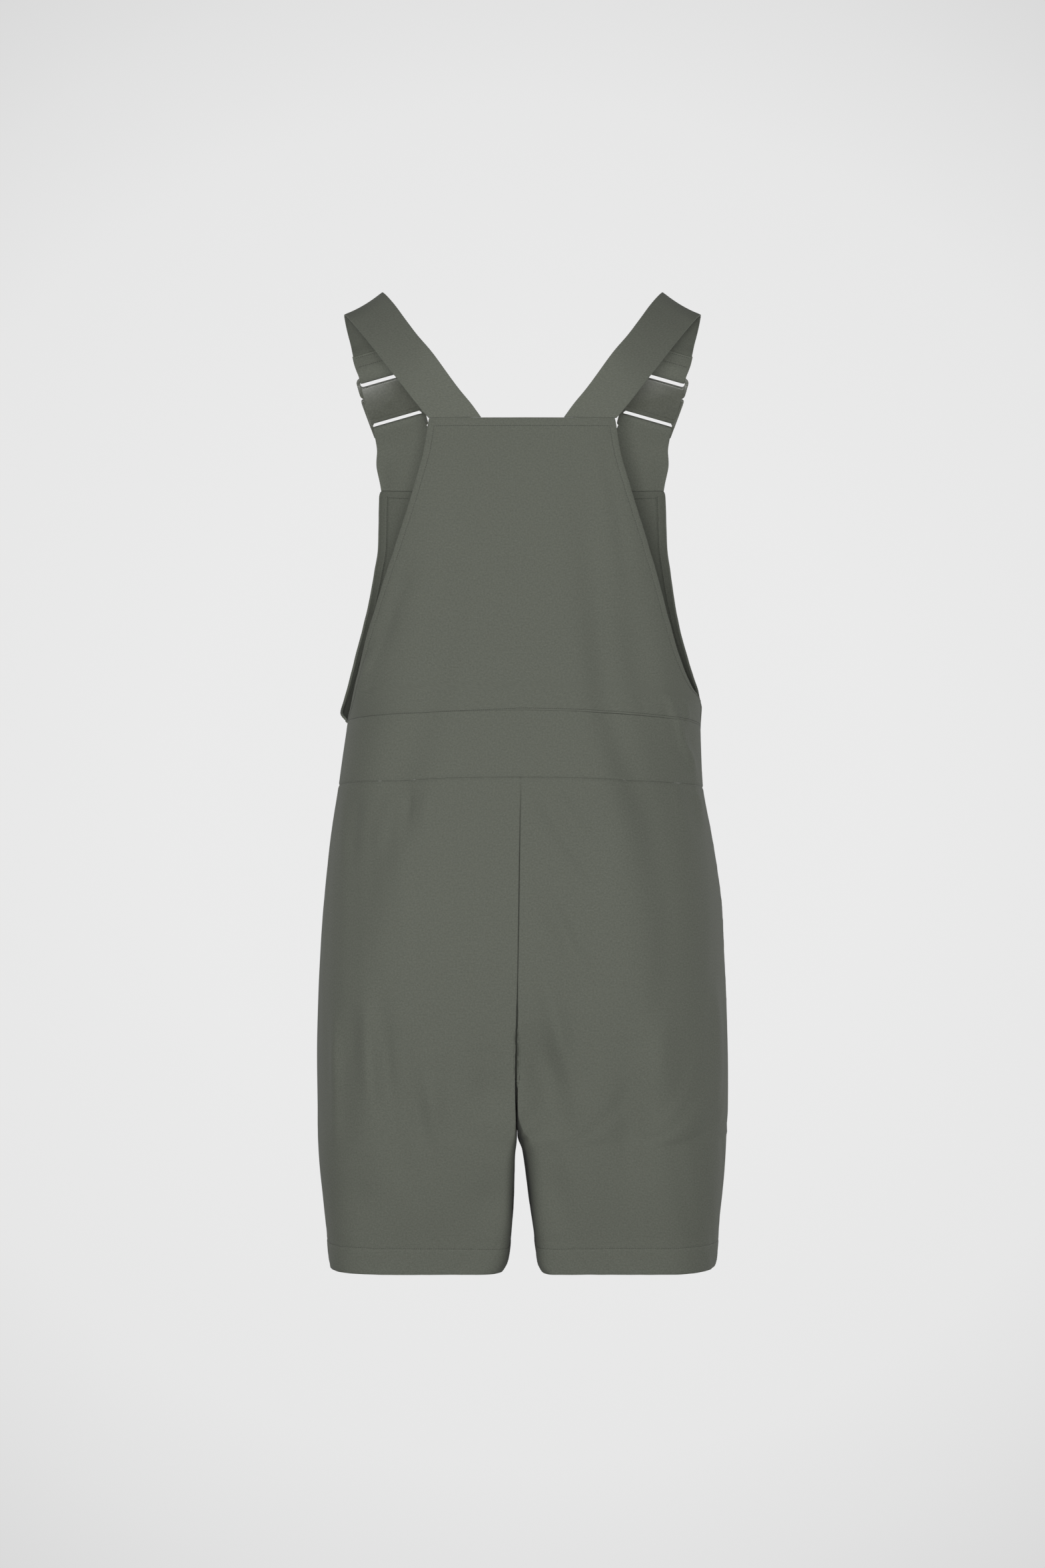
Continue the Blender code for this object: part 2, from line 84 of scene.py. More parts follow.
def clothFinish(name, tint=1.0):
    # fine twill: yarns in the piece's own UVs, which are in metres, and a soft heather
    material = bpy.data.materials.new(name)
    material.use_nodes = True
    tree = material.node_tree
    link = tree.links.new
    shader = tree.nodes["Principled BSDF"]
    shader.inputs["Roughness"].default_value = cloth["roughness"]
    shader.inputs["Sheen Weight"].default_value = cloth["sheen"]
    shader.inputs["Sheen Roughness"].default_value = 0.5
    shader.inputs["Specular IOR Level"].default_value = 0.22
    uv = addNode(tree, "ShaderNodeTexCoord", (-1500, 0))
    twillMap = addNode(tree, "ShaderNodeMapping", (-1300, 200))
    twillMap.inputs["Rotation"].default_value = (0, 0, math.radians(62))
    link(uv.outputs["UV"], twillMap.inputs["Vector"])
    twill = addNode(tree, "ShaderNodeTexWave", (-1100, 240), wave_type="BANDS")
    twill.inputs["Scale"].default_value = 0.31 / cloth["yarn"] / 1.6
    twill.inputs["Distortion"].default_value = 0.7
    twill.inputs["Detail"].default_value = 2.0
    twill.inputs["Detail Scale"].default_value = 3.0
    link(twillMap.outputs["Vector"], twill.inputs["Vector"])
    weftMap = addNode(tree, "ShaderNodeMapping", (-1300, -60))
    weftMap.inputs["Scale"].default_value = (260, 1900, 1)
    link(uv.outputs["UV"], weftMap.inputs["Vector"])
    weft = addNode(tree, "ShaderNodeTexNoise", (-1100, -60), in_Scale=1.0, in_Detail=2.0)
    link(weftMap.outputs["Vector"], weft.inputs["Vector"])
    warpMap = addNode(tree, "ShaderNodeMapping", (-1300, -320))
    warpMap.inputs["Scale"].default_value = (1900, 260, 1)
    link(uv.outputs["UV"], warpMap.inputs["Vector"])
    warp = addNode(tree, "ShaderNodeTexNoise", (-1100, -320), in_Scale=1.0, in_Detail=2.0)
    link(warpMap.outputs["Vector"], warp.inputs["Vector"])
    heather = addNode(tree, "ShaderNodeTexNoise", (-1100, -580), in_Scale=620.0, in_Detail=3.0,
                      in_Roughness=0.55)
    link(uv.outputs["UV"], heather.inputs["Vector"])
    yarns = addNode(tree, "ShaderNodeMath", (-860, -180), operation="ADD")
    link(weft.outputs["Fac"], yarns.inputs[0])
    link(warp.outputs["Fac"], yarns.inputs[1])
    blend = addNode(tree, "ShaderNodeMath", (-700, -180), operation="MULTIPLY_ADD")
    blend.inputs[1].default_value = 0.3
    link(yarns.outputs[0], blend.inputs[0])
    link(heather.outputs["Fac"], blend.inputs[2])
    ramp = addNode(tree, "ShaderNodeValToRGB", (-520, -180))
    ramp.color_ramp.elements[0].position = 0.56
    ramp.color_ramp.elements[1].position = 1.04
    ramp.color_ramp.elements[0].color = (*[c * tint for c in cloth["dark"]], 1)
    ramp.color_ramp.elements[1].color = (*[c * tint for c in cloth["light"]], 1)
    link(blend.outputs[0], ramp.inputs["Fac"])
    link(ramp.outputs["Color"], shader.inputs["Base Color"])
    height = addNode(tree, "ShaderNodeMath", (-700, 120), operation="MULTIPLY_ADD")
    height.inputs[1].default_value = 0.55
    link(twill.outputs["Fac"], height.inputs[0])
    link(yarns.outputs[0], height.inputs[2])
    weave = addNode(tree, "ShaderNodeBump", (-300, 60), in_Strength=0.35, in_Distance=0.00018)
    link(height.outputs[0], weave.inputs["Height"])
    slub = addNode(tree, "ShaderNodeBump", (-120, 0), in_Strength=0.2, in_Distance=0.0003)
    link(heather.outputs["Fac"], slub.inputs["Height"])
    link(weave.outputs["Normal"], slub.inputs["Normal"])
    link(slub.outputs["Normal"], shader.inputs["Normal"])
    return material


def threadFinish(name, colour):
    material = bpy.data.materials.new(name)
    material.use_nodes = True
    tree = material.node_tree
    shader = tree.nodes["Principled BSDF"]
    shader.inputs["Roughness"].default_value = 0.7
    place = addNode(tree, "ShaderNodeTexCoord", (-900, 0))
    ply = addNode(tree, "ShaderNodeTexNoise", (-700, 0), in_Scale=900.0, in_Detail=2.0)
    ramp = addNode(tree, "ShaderNodeValToRGB", (-480, 0))
    ramp.color_ramp.elements[0].color = (*[c * 0.75 for c in colour], 1)
    ramp.color_ramp.elements[1].color = (*[c * 1.2 for c in colour], 1)
    bump = addNode(tree, "ShaderNodeBump", (-300, -200), in_Strength=0.3, in_Distance=0.0001)
    tree.links.new(place.outputs["Object"], ply.inputs["Vector"])
    tree.links.new(ply.outputs["Fac"], ramp.inputs["Fac"])
    tree.links.new(ramp.outputs["Color"], shader.inputs["Base Color"])
    tree.links.new(ply.outputs["Fac"], bump.inputs["Height"])
    tree.links.new(bump.outputs["Normal"], shader.inputs["Normal"])
    return material


def plateFinish(name, colour, roughness):
    # moulded plastic in the cloth's colour, with a fine mottled grain
    material = bpy.data.materials.new(name)
    material.use_nodes = True
    tree = material.node_tree
    link = tree.links.new
    shader = tree.nodes["Principled BSDF"]
    place = addNode(tree, "ShaderNodeTexCoord", (-1100, 0))
    mottle = addNode(tree, "ShaderNodeTexNoise", (-900, 120), in_Scale=620.0, in_Detail=4.0,
                     in_Roughness=0.6)
    cloud = addNode(tree, "ShaderNodeTexNoise", (-900, -160), in_Scale=90.0, in_Detail=2.0)
    link(place.outputs["Object"], mottle.inputs["Vector"])
    link(place.outputs["Object"], cloud.inputs["Vector"])
    ramp = addNode(tree, "ShaderNodeValToRGB", (-520, 120))
    ramp.color_ramp.elements[0].position = 0.35
    ramp.color_ramp.elements[1].position = 0.68
    ramp.color_ramp.elements[0].color = (*[c * 0.86 for c in colour], 1)
    ramp.color_ramp.elements[1].color = (*[c * 1.16 for c in colour], 1)
    link(mottle.outputs["Fac"], ramp.inputs["Fac"])
    link(ramp.outputs["Color"], shader.inputs["Base Color"])
    dull = addNode(tree, "ShaderNodeMapRange", (-520, -160))
    dull.inputs["To Min"].default_value = roughness - 0.08
    dull.inputs["To Max"].default_value = roughness + 0.1
    link(cloud.outputs["Fac"], dull.inputs["Value"])
    link(dull.outputs["Result"], shader.inputs["Roughness"])
    bump = addNode(tree, "ShaderNodeBump", (-300, -300), in_Strength=0.35, in_Distance=0.00012)
    link(mottle.outputs["Fac"], bump.inputs["Height"])
    link(bump.outputs["Normal"], shader.inputs["Normal"])
    return material


shellCloth = clothFinish("greyGreenTwill")
# painted light: the facing inside the underarm is the same cloth made 1.35 times lighter, brightening
# the garment's shaded inside
facingClothPaintedLight = clothFinish("facingTwill", 1.35)
# painted light: the straps and tabs are the same cloth made 1.1 times lighter, brightening their shaded
# inner faces
webClothPaintedLight = clothFinish("doubledTwill", 1.1)
# thread at about half the cloth's brightness: real tone-on-tone thread, darkened with painted shade for
# the shadows between the sunk stitches
thread = threadFinish("tonalThreadWithPaintedShade", (0.062, 0.066, 0.054))
plateLook = plateFinish("buckleSatin", (0.112, 0.118, 0.096), 0.36)
# painted shade: a near-black copy of the plate finish, for the shaded underside over the buckle's lower
# slot
slotPaintedShade = plateFinish("buckleShade", (0.05, 0.052, 0.043), 0.6)
print("finishes made")

# ---- the form: sections by height in millimetres, the same sizes as the solids

trunkColumns = ("z dropLeft dropRight left right back front flat squareLeft squareRight "
                "inLeft inRight roundLeft roundRight riseBack riseFront").split()
trunkRows = [
    (-386.6, 10.0, 16.0, 164.8, 168.0, 102, 108, 40, 2.4, 2.4, 1.0, -1.0, 2.0, 2.0, 102, 108),
    (-417.0, 9.3, 13.0, 169.2, 169.2, 103, 109, 42, 2.5, 2.35, 1.1, -1.1, 2.0, 2.0, 103, 109),
    (-447.5, 8.5, 10.5, 173.4, 170.8, 106, 111, 46, 2.4, 2.25, 1.3, -1.3, 2.0, 2.0, 106, 111),
    (-490.0, 6.0, 7.0, 179.3, 178.0, 113, 115, 54, 2.45, 2.2, 2.2, -2.2, 2.2, 2.2, 112, 115),
    (-530.0, 4.0, 4.5, 184.0, 184.2, 119, 117, 62, 2.5, 2.2, 2.8, -2.8, 3.0, 3.0, 117, 117),
    (-570.0, 2.0, 2.0, 187.2, 188.8, 123, 118, 68, 2.55, 2.2, 3.3, -3.3, 4.5, 4.5, 120, 117),
    (-608.0, 0.6, 0.6, 189.2, 190.4, 124, 117, 74, 2.65, 2.2, 4.0, -4.0, 7.0, 7.0, 120, 116),
    (-658.0, 0.0, 0.0, 191.2, 191.9, 121, 114, 80, 2.8, 2.3, 4.8, -4.8, 12.0, 10.0, 113, 110),
    (-709.0, 0.0, 0.0, 192.3, 192.4, 115, 110, 86, 2.9, 2.5, 5.4, -5.4, 18.0, 12.0, 100, 100),
    (-747.0, 0.0, 0.0, 191.9, 191.8, 110, 107, 90, 3.0, 2.6, 5.6, -5.6, 22.0, 9.0, 78, 82),
    (-768.0, 0.0, 0.0, 191.8, 191.3, 108, 105, 92, 3.1, 2.7, 5.4, -5.4, 22.0, 7.0, 54, 56),
    (-780.0, 0.0, 0.0, 191.6, 191.0, 106, 104, 93, 3.1, 2.7, 5.0, -5.0, 20.0, 5.5, 26, 28),
    (-784.0, 0.0, 0.0, 191.5, 190.9, 106, 104, 93, 3.1, 2.7, 5.0, -5.0, 16.0, 6.0, 0, 0),
    (-796.0, 0.0, 0.0, 191.0, 190.2, 104, 103, 94, 3.2, 2.8, 6.7, -0.8, 14.0, 6.5, 0, 0),
    (-822.0, 0.0, 0.0, 189.2, 188.0, 100, 100, 95, 3.5, 2.9, 7.4, 2.8, 12.0, 7.0, 0, 0),
    (-846.0, 0.0, 0.0, 187.2, 186.0, 95, 97, 96, 3.5, 3.0, 8.0, 5.8, 12.0, 7.5, 0, 0),
    (-866.0, 0.0, 0.0, 185.4, 184.6, 90, 94, 97, 3.6, 3.1, 9.2, 8.8, 11.0, 8.0, 0, 0),
    (-886.0, 0.0, 0.0, 183.6, 183.2, 86, 91, 98, 3.7, 3.2, 11.2, 11.4, 9.0, 8.0, 0, 0),
    (-898.0, 0.0, 0.0, 182.4, 182.0, 84, 89, 99, 3.7, 3.2, 13.4, 13.6, 8.0, 8.0, 0, 0),
    (-905.8, 0.0, 0.0, 180.6, 180.4, 83, 88, 99, 3.7, 3.2, 17.6, 17.4, 8.0, 8.0, 0, 0),
]
bibColumns = "z dropLeft dropRight left right deep flat square cutLeft cutRight".split()
backBibRows = [
    (-119.0, 0.0, 0.0, 150.0, 150.0, 101, 30, 2.6, 85.6, 84.6),
    (-122.5, 0.0, 0.0, 150.5, 150.5, 101, 30, 2.6, 86.4, 85.4),
    (-148.0, 0.0, 0.0, 152.0, 152.0, 104, 31, 2.6, 90.5, 89.5),
    (-184.0, 0.0, 0.0, 155.0, 155.0, 107, 33, 2.5, 100.3, 99.5),
    (-220.0, 0.0, 0.0, 158.0, 158.0, 108, 35, 2.5, 111.8, 111.0),
    (-250.0, 0.2, 0.2, 160.5, 160.5, 108, 36, 2.5, 121.9, 120.2),
    (-270.0, 0.8, 1.0, 162.0, 162.0, 107, 37, 2.4, 128.8, 126.2),
    (-300.0, 2.5, 3.6, 164.0, 164.0, 106, 38, 2.4, 139.2, 135.2),
    (-325.0, 5.0, 7.0, 165.5, 165.5, 104, 39, 2.4, 147.0, 142.9),
    (-345.0, 7.0, 10.0, 166.0, 167.0, 103, 40, 2.4, 151.8, 151.2),
    (-357.0, 8.0, 12.0, 166.2, 168.0, 103, 40, 2.4, 155.4, 158.2),
    (-367.0, 8.7, 13.4, 166.4, 168.4, 102, 40, 2.4, 158.2, 168.4),
    (-386.6, 10.0, 16.0, 164.8, 168.0, 102, 40, 2.4, 164.8, 168.0),
]
frontBibRows = [
    (-168.0, 0.0, 0.0, 168.0, 168.0, 109, 50, 4.0, 136.5, 136.3),
    (-170.0, 0.0, 0.0, 168.0, 168.0, 109, 50, 4.0, 138.9, 138.6),
    (-175.0, 0.0, 0.0, 168.0, 168.0, 109, 50, 4.0, 139.9, 139.5),
    (-223.0, 0.0, 0.0, 168.0, 168.0, 111, 50, 3.8, 141.0, 141.2),
    (-250.0, 0.2, 0.2, 168.5, 168.5, 112, 50, 3.5, 144.7, 144.4),
    (-270.0, 0.8, 1.0, 169.0, 169.0, 112, 49, 3.3, 148.2, 147.2),
    (-300.0, 2.5, 3.6, 170.5, 170.0, 112, 47, 3.0, 154.4, 152.2),
    (-325.0, 5.0, 7.0, 172.0, 171.0, 111, 45, 2.8, 160.6, 158.6),
    (-345.0, 7.0, 10.0, 173.4, 171.0, 110, 43, 2.6, 165.3, 164.4),
    (-357.0, 8.0, 12.0, 174.0, 170.6, 110, 42, 2.5, 168.4, 168.4),
    (-367.0, 8.7, 13.4, 174.0, 169.4, 109, 41, 2.5, 171.0, 169.4),
    (-378.0, 9.5, 15.0, 173.2, 168.6, 108, 40, 2.4, 172.8, 168.6),
    (-386.6, 10.0, 16.0, 165.6, 168.0, 108, 40, 2.4, 165.6, 168.0),
]
seamGap = 0.04
dropPower = 1.8


def readColumn(rows, columns, name, z):
    # monotone cubic through a table's column
    k = columns.index(name)
    xs = [-row[0] for row in rows]
    ys = [row[k] for row in rows]
    x = min(max(-z, xs[0]), xs[-1])
    i = 0
    while i < len(xs) - 2 and x > xs[i + 1]:
        i += 1

    def slope(n):
        if n in (0, len(xs) - 1):
            m = min(n, len(xs) - 2)
            return (ys[m + 1] - ys[m]) / (xs[m + 1] - xs[m])
        a = (ys[n] - ys[n - 1]) / (xs[n] - xs[n - 1])
        b = (ys[n + 1] - ys[n]) / (xs[n + 1] - xs[n])
        return 0.0 if a * b <= 0 else 2 * a * b / (a + b)

    h = xs[i + 1] - xs[i]
    t = (x - xs[i]) / h
    a, b = slope(i) * h, slope(i + 1) * h
    return (ys[i] * (2 * t ** 3 - 3 * t ** 2 + 1) + a * (t ** 3 - 2 * t ** 2 + t)
            + ys[i + 1] * (3 * t ** 2 - 2 * t ** 3) + b * (t ** 3 - t ** 2))


def quarterLine(flat, reach, base, deep, power, stop=90.0, steps=96):
    turn = np.linspace(0.0, math.radians(stop), steps)
    across = np.sin(turn) ** (2 / power)
    away = np.clip(np.cos(turn), 0, 1) ** (2 / power)
    x = flat + (reach - flat) * across / across[-1]
    y = base + (deep - base) * (away - away[-1]) / (1 - away[-1])
    return np.stack([x, y], axis=1)


def grooveLine(flat, start, rise, deep):
    # the narrow groove beside the middle seam: a wall, a small round corner, the panel's crown
    crown = min(1.8, 0.3 * (deep - rise))
    corner = min(1.0, 0.8 * (deep - crown - rise))
    lean = min(0.2, 0.02 * (deep - rise))
    turn = np.linspace(0.0, math.radians(86), 24)
    wallX = start + lean * np.linspace(0, 1, 13)[:-1]
    wallY = np.linspace(rise, deep - crown - corner, 13)[:-1]
    turnX = start + lean + corner * (1 - np.cos(turn))
    turnY = deep - crown - corner + corner * np.sin(turn)
    far = np.linspace(0, 1, 61)[1:]
    backX = turnX[-1] + (flat - turnX[-1]) * far
    backY = turnY[-1] + (deep - turnY[-1]) * (1 - (1 - far) ** 2.4)
    return np.stack([np.concatenate([wallX, turnX, backX]),
                     np.concatenate([wallY, turnY, backY])], axis=1)


def walkLine(line):
    return np.concatenate([[0.0], np.cumsum(np.linalg.norm(np.diff(line, axis=0), axis=1))])


def smoothStep(t):
    t = np.clip(t, 0.0, 1.0)
    return t * t * (3 - 2 * t)


def trunkLine(z, side, front):
    # half a section from the middle seam or inseam out to the side seam
    def read(name):
        return readColumn(trunkRows, trunkColumns, name, z)

    hand = "Left" if side < 0 else "Right"
    face = "front" if front else "back"
    deep, flat = read(face), read("flat")
    rise = read("rise" + face.capitalize())
    start = read("in" + hand) + seamGap / 2
    stop = 50 + 40 * smoothStep((deep - rise) / 50)
    inner = quarterLine(flat, start, rise, deep, read("round" + hand), stop)[::-1]
    closed = smoothStep((z + 784) / 12)
    inner = inner * (1 - closed) + grooveLine(flat, start, rise, deep) * closed
    outer = quarterLine(flat, read(hand.lower()), 0.0, deep, read("square" + hand))
    line = np.concatenate([inner, outer[1:]])
    return line * np.array([side, 1 if front else -1]), deep - rise


def bibRow(rows, z, side, front, count):
    def read(name):
        return readColumn(rows, bibColumns, name, z)

    hand = "Left" if side < 0 else "Right"
    wide, cut = read(hand.lower()), read("cut" + hand)
    line = quarterLine(read("flat"), wide, 0.0, read("deep"), read("square"))
    line = np.concatenate([[[0.0, line[0, 1]]], line])
    full = walkLine(line)
    end = np.interp(cut, line[:, 0], full) if cut < wide - 0.05 else full[-1] - seamGap / 2
    stops = clusterStops(end, (0.0,), rimStops, count)
    x = side * np.interp(stops, full, line[:, 0])
    y = np.interp(stops, full, line[:, 1]) * (1 if front else -1)
    return np.stack([x, y, z - read("drop" + hand) * (stops / full[-1]) ** dropPower], axis=1)


def clusterStops(length, near, far, count):
    # distances along a row: close together by both edges, even between
    head = np.array(near, dtype=float)
    tail = length - np.array(far, dtype=float)[::-1]
    middle = np.linspace(head[-1], tail[0], count - len(head) - len(tail) + 2)
    return np.concatenate([head, middle[1:-1], tail])


def legGrid(side, front):
    rows, keeps, levels = [], [], []
    low, top = -905.8, -447.76
    turned = legSheet["turned"]
    for s in clusterStops(top - low, legSheet["topStops"], legSheet["footStops"],
                          legSheet["down"] + 1):
        z = top - s
        line, groove = trunkLine(z, side, front)
        along = walkLine(line)
        cut = seamGap / 2 if z <= -775 else 0.0
        # the first columns go down the groove beside the seam, the rest cross the panel
        split = max(groove, 7.0)
        inner = cut + (split - cut) * (1 - (1 - np.linspace(0, 1, turned + 1)[:-1]) ** 1.8)
        rest = clusterStops(along[-1] - seamGap / 2 - split, cornerStops, seamStops,
                            legSheet["across"] + 1 - turned)
        stops = np.concatenate([inner, split + rest])
        rows.append(trunkPoints(z, side, line, along, stops))
        keep = smoothStep(np.arange(len(stops)) / turned)
        keeps.append(keep * smoothStep((stops[-1] - stops - 1.5) / 14))
        levels.append(z)
    grid = easeDown(np.array(rows), np.array(levels), 16.0, np.array(keeps))
    return grid[:, ::-1] if (side < 0) != front else grid


def easeDown(grid, levels, reach, keep):
    # evens a leg's form from one height to the next, its inner and side edges kept
    out = grid.copy()
    for k, z in enumerate(levels):
        share = np.exp(-((levels - z) / reach) ** 2) * np.gradient(levels)
        out[k] = (grid * (share / share.sum())[:, None, None]).sum(axis=0)
    ends = np.minimum(smoothStep((levels[0] - levels) / 40), smoothStep((levels - levels[-1]) / 40))
    hold = keep * ends[:, None]
    return grid * (1 - hold[:, :, None]) + out * hold[:, :, None]


def trunkPoints(z, side, line, along, stops):
    drop = readColumn(trunkRows, trunkColumns, "dropLeft" if side < 0 else "dropRight", z)
    x = np.interp(stops, along, line[:, 0])
    y = np.interp(stops, along, line[:, 1])
    return np.stack([x, y, z - drop * (stops / along[-1]) ** dropPower], axis=1)


def bandGrid(front):
    rows = []
    half = bandSheet["across"] // 2 + 1
    for s in clusterStops(61.04, bandStops, bandStops, bandSheet["down"] + 1):
        z = -386.66 - s
        halves = []
        for side in (-1, 1):
            line, _ = trunkLine(z, side, front)
            along = walkLine(line)
            stops = clusterStops(along[-1] - seamGap / 2, (0.0,), seamStops, half)
            halves.append(trunkPoints(z, side, line, along, stops))
        left, right = halves
        middle = (left[:1] + right[:1]) / 2
        row = np.concatenate([left[:0:-1], middle, right[1:]])
        rows.append(row[::-1] if front else row)
    return np.array(rows)


def bibGrid(front):
    table = frontBibRows if front else backBibRows
    top = table[0][0]
    half = bibSheet["across"] // 2 + 1
    rows = []
    for s in clusterStops(top + 386.6, rimStops, bandStops, bibSheet["down"] + 1):
        left = bibRow(table, top - s, -1, front, half)
        right = bibRow(table, top - s, 1, front, half)
        row = np.concatenate([left[:0:-1], right])
        rows.append(row[::-1] if front else row)
    return np.array(rows)


# ---- relief: edges, ditches, puckers and creases, all in millimetres

legSheet = {
    "across": 116, "down": 190, "turned": 22, "seamRoll": 0.55, "hemDitch": 25.0,
    "topStops": (0.0, 0.7, 1.5, 2.4, 3.6, 5.2, 7.4),
    "footStops": (0.0, 0.7, 1.6, 3.2, 6.0, 9.0, 12.0, 15.0, 18.0, 20.6, 22.6, 23.9, 24.5, 25.0,
                  25.5, 26.2, 27.4, 29.4),
}
bandSheet = {"across": 176, "down": 28, "wall": 1.4, "seamRoll": 0.45}
bibSheet = {"across": 136, "down": 122, "edgeLine": 6.2, "topLine": 7.6}
cornerStops = (0.0, 0.8, 1.6, 2.6, 3.8, 5.4, 7.4)
seamStops = (0.0, 0.7, 1.4, 2.3, 3.5, 5.2, 7.4)
bandStops = (0.0, 0.7, 1.4, 2.2, 3.3, 4.9)
rimStops = (0.0, 0.6, 1.4, 3.0, 4.4, 5.4, 6.0, 6.5, 7.1, 7.7, 8.3, 9.2, 11.0, 13.2)

# soft troughs (+) and ridges (-): panel, share of the width at top and foot, heights, width, depth
foldRows = [
    ("backLegLeft", 0.72, 0.80, -640, -930, 30, 3.4),
    ("backLegLeft", 0.30, 0.42, -700, -930, 26, 2.2),
    ("backLegLeft", 0.93, 0.90, -560, -860, 14, -1.6),
    ("backLegRight", 0.26, 0.18, -660, -900, 24, 3.8),
    ("backLegRight", 0.55, 0.48, -690, -930, 28, 2.6),
    ("backLegRight", 0.86, 0.80, -470, -760, 26, 3.0),
    ("backLegRight", 0.97, 0.93, -620, -900, 13, -1.8),
    ("frontLegLeft", 0.34, 0.26, -600, -930, 30, 3.2),
    ("frontLegLeft", 0.74, 0.82, -560, -900, 26, 2.6),
    ("frontLegRight", 0.30, 0.38, -620, -930, 28, 3.0),
    ("frontLegRight", 0.70, 0.62, -580, -930, 30, 2.8),
]

# creases, as lines of (x, z) across the seams: half width, and height out (+) or in (-)
backPaths = [
    # the long hollows that spread from the bib to the hips
    ([(51, -135), (66, -287), (77, -378), (90, -423), (116, -487), (133, -578), (140, -687)], 17, -6.2),
    ([(73, -408), (89, -481), (95, -548)], 20, 2.0),
    ([(88, -255), (104, -330), (116, -390), (140, -480)], 24, -8.0),
    ([(-50, -230), (-70, -320), (-91, -393), (-114, -457), (-140, -532), (-156, -610)], 20, -7.5),
    ([(-44, -129), (-45, -189), (-41, -244)], 7, -1.5),
    ([(73, -141), (86, -202), (100, -287)], 8, -1.5),
    ([(-104, -256), (-121, -299), (-136, -338)], 8, -2.9),
    ([(-132, -320), (-145, -347), (-154, -378)], 4, 2.4),
    # short sharp creases at the right of the waist
    ([(133, -363), (157, -431)], 3.6, 3.2),
    ([(152, -378), (153, -403)], 3.0, 2.3),
    ([(144, -407), (157, -431), (164, -455)], 3.4, 3.5),
    ([(160, -454), (169, -496)], 4.2, 3.3),
    ([(143, -457), (155, -505)], 6.0, 1.9),
    # fans below the waist seam
    ([(-104, -457), (-109, -506)], 5, -2.2),
    ([(-87, -457), (-90, -495)], 5, 1.6),
    ([(-121, -460), (-136, -517)], 7, 2.3),
    ([(-152, -463), (-159, -523)], 6, -2.3),
    ([(13, -460), (40, -506), (73, -548)], 7, -3.1),
    ([(31, -460), (58, -508)], 6, 2.1),
    ([(10, -536), (40, -590), (64, -651)], 10, -3.9),
    ([(28, -548), (64, -621)], 8, 2.5),
    # round the crotch and down the right leg
    ([(14, -600), (30, -669), (43, -718), (52, -766)], 10, 4.4),
    ([(6, -668), (22, -728), (36, -782)], 17, -9.5),
    ([(22, -785), (32, -868)], 16, -4.5),
    ([(92, -680), (98, -772), (107, -830)], 15, -5.6),
    ([(122, -660), (131, -780)], 17, 4.2),
    ([(179, -639), (183, -712), (182, -772)], 6, 3.8),
    # down the left leg
    ([(-129, -639), (-125, -712), (-117, -772), (-97, -827)], 11, -5.8),
    ([(-143, -660), (-138, -760)], 8, 3.3),
    ([(-106, -687), (-98, -748), (-81, -815)], 9, -3.9),
    ([(-83, -690), (-80, -790)], 9, 3.1),
    ([(-173, -660), (-174, -790)], 5, 3.3),
    ([(-158, -651), (-163, -790)], 12, -4.0),
    ([(-34, -690), (-26, -765)], 15, -4.7),
    ([(-26, -800), (-30, -872)], 16, -4.5),
    ([(-146, -790), (-158, -872)], 22, -4.7),
]
frontPaths = [
    ([(-55, -143), (-68, -274), (-87, -392), (-120, -489), (-146, -600)], 17, -4.8),
    ([(63, -157), (76, -294), (92, -405), (118, -509)], 15, -4.2),
    ([(-3, -196), (-5, -274), (-1, -346)], 9, -1.5),
    ([(-159, -365), (-149, -411), (-154, -444)], 4, 2.2),
    ([(148, -392), (161, -437)], 4, 2.4),
    ([(-94, -460), (-120, -529)], 7, -2.0),
    ([(-68, -460), (-76, -516)], 6, 1.2),
    ([(76, -463), (95, -535)], 7, -1.8),
    ([(50, -463), (51, -522)], 5, 1.2),
    ([(-25, -653), (-55, -705), (-81, -737)], 10, 2.9),
    ([(23, -646), (56, -705), (79, -731)], 10, 3.1),
    ([(-16, -731), (-32, -783)], 12, -3.5),
    ([(10, -737), (30, -796)], 12, -3.3),
    ([(-120, -653), (-127, -744), (-140, -835)], 11, -3.3),
    ([(-87, -731), (-94, -835)], 10, 1.8),
    ([(108, -666), (115, -764), (105, -848)], 12, -3.1),
    ([(141, -705), (148, -790)], 12, 2.0),
    ([(-146, -855), (-149, -902)], 18, -3.1),
    ([(141, -855), (144, -902)], 18, -3.1),
]


def uneven(t, seed):
    # slow, uneven wave from fixed sines, about -1 to 1
    return (np.sin(t + seed) + 0.6 * np.sin(1.73 * t + 2.1 * seed)
            + 0.45 * np.sin(2.91 * t + 0.7 * seed) + 0.3 * np.sin(4.63 * t + 3.3 * seed)) / 1.7


def bell(distance, width):
    return np.exp(-(distance / width) ** 2)


def gridFrames(grid):
    # distances to the four edges and the outward normals of a sheet's grid
    acrossStep = np.linalg.norm(np.diff(grid, axis=1), axis=2)
    downStep = np.linalg.norm(np.diff(grid, axis=0), axis=2)
    left = np.concatenate([np.zeros((len(grid), 1)), np.cumsum(acrossStep, axis=1)], axis=1)
    top = np.concatenate([np.zeros((1, grid.shape[1])), np.cumsum(downStep, axis=0)], axis=0)
    along = np.gradient(grid, axis=1)
    down = np.gradient(grid, axis=0)
    normal = np.cross(down, along)
    normal /= np.linalg.norm(normal, axis=2)[:, :, None] + 1e-9
    return {"left": left, "right": left[:, -1:] - left, "top": top, "foot": top[-1:] - top,
            "width": left[:, -1:], "z": grid[:, :, 2], "x": grid[:, :, 0], "normal": normal}


def foldRelief(panel, share, z, width):
    out = np.zeros_like(z)
    for name, topShare, footShare, zTop, zFoot, wide, deep in foldRows:
        if name != panel:
            continue
        t = np.clip((z - zTop) / (zFoot - zTop), 0, 1)
        across = (share - topShare - (footShare - topShare) * t) * width / wide
        out -= deep * np.exp(-across * across) * np.sin(math.pi * t) ** 0.8
    return out


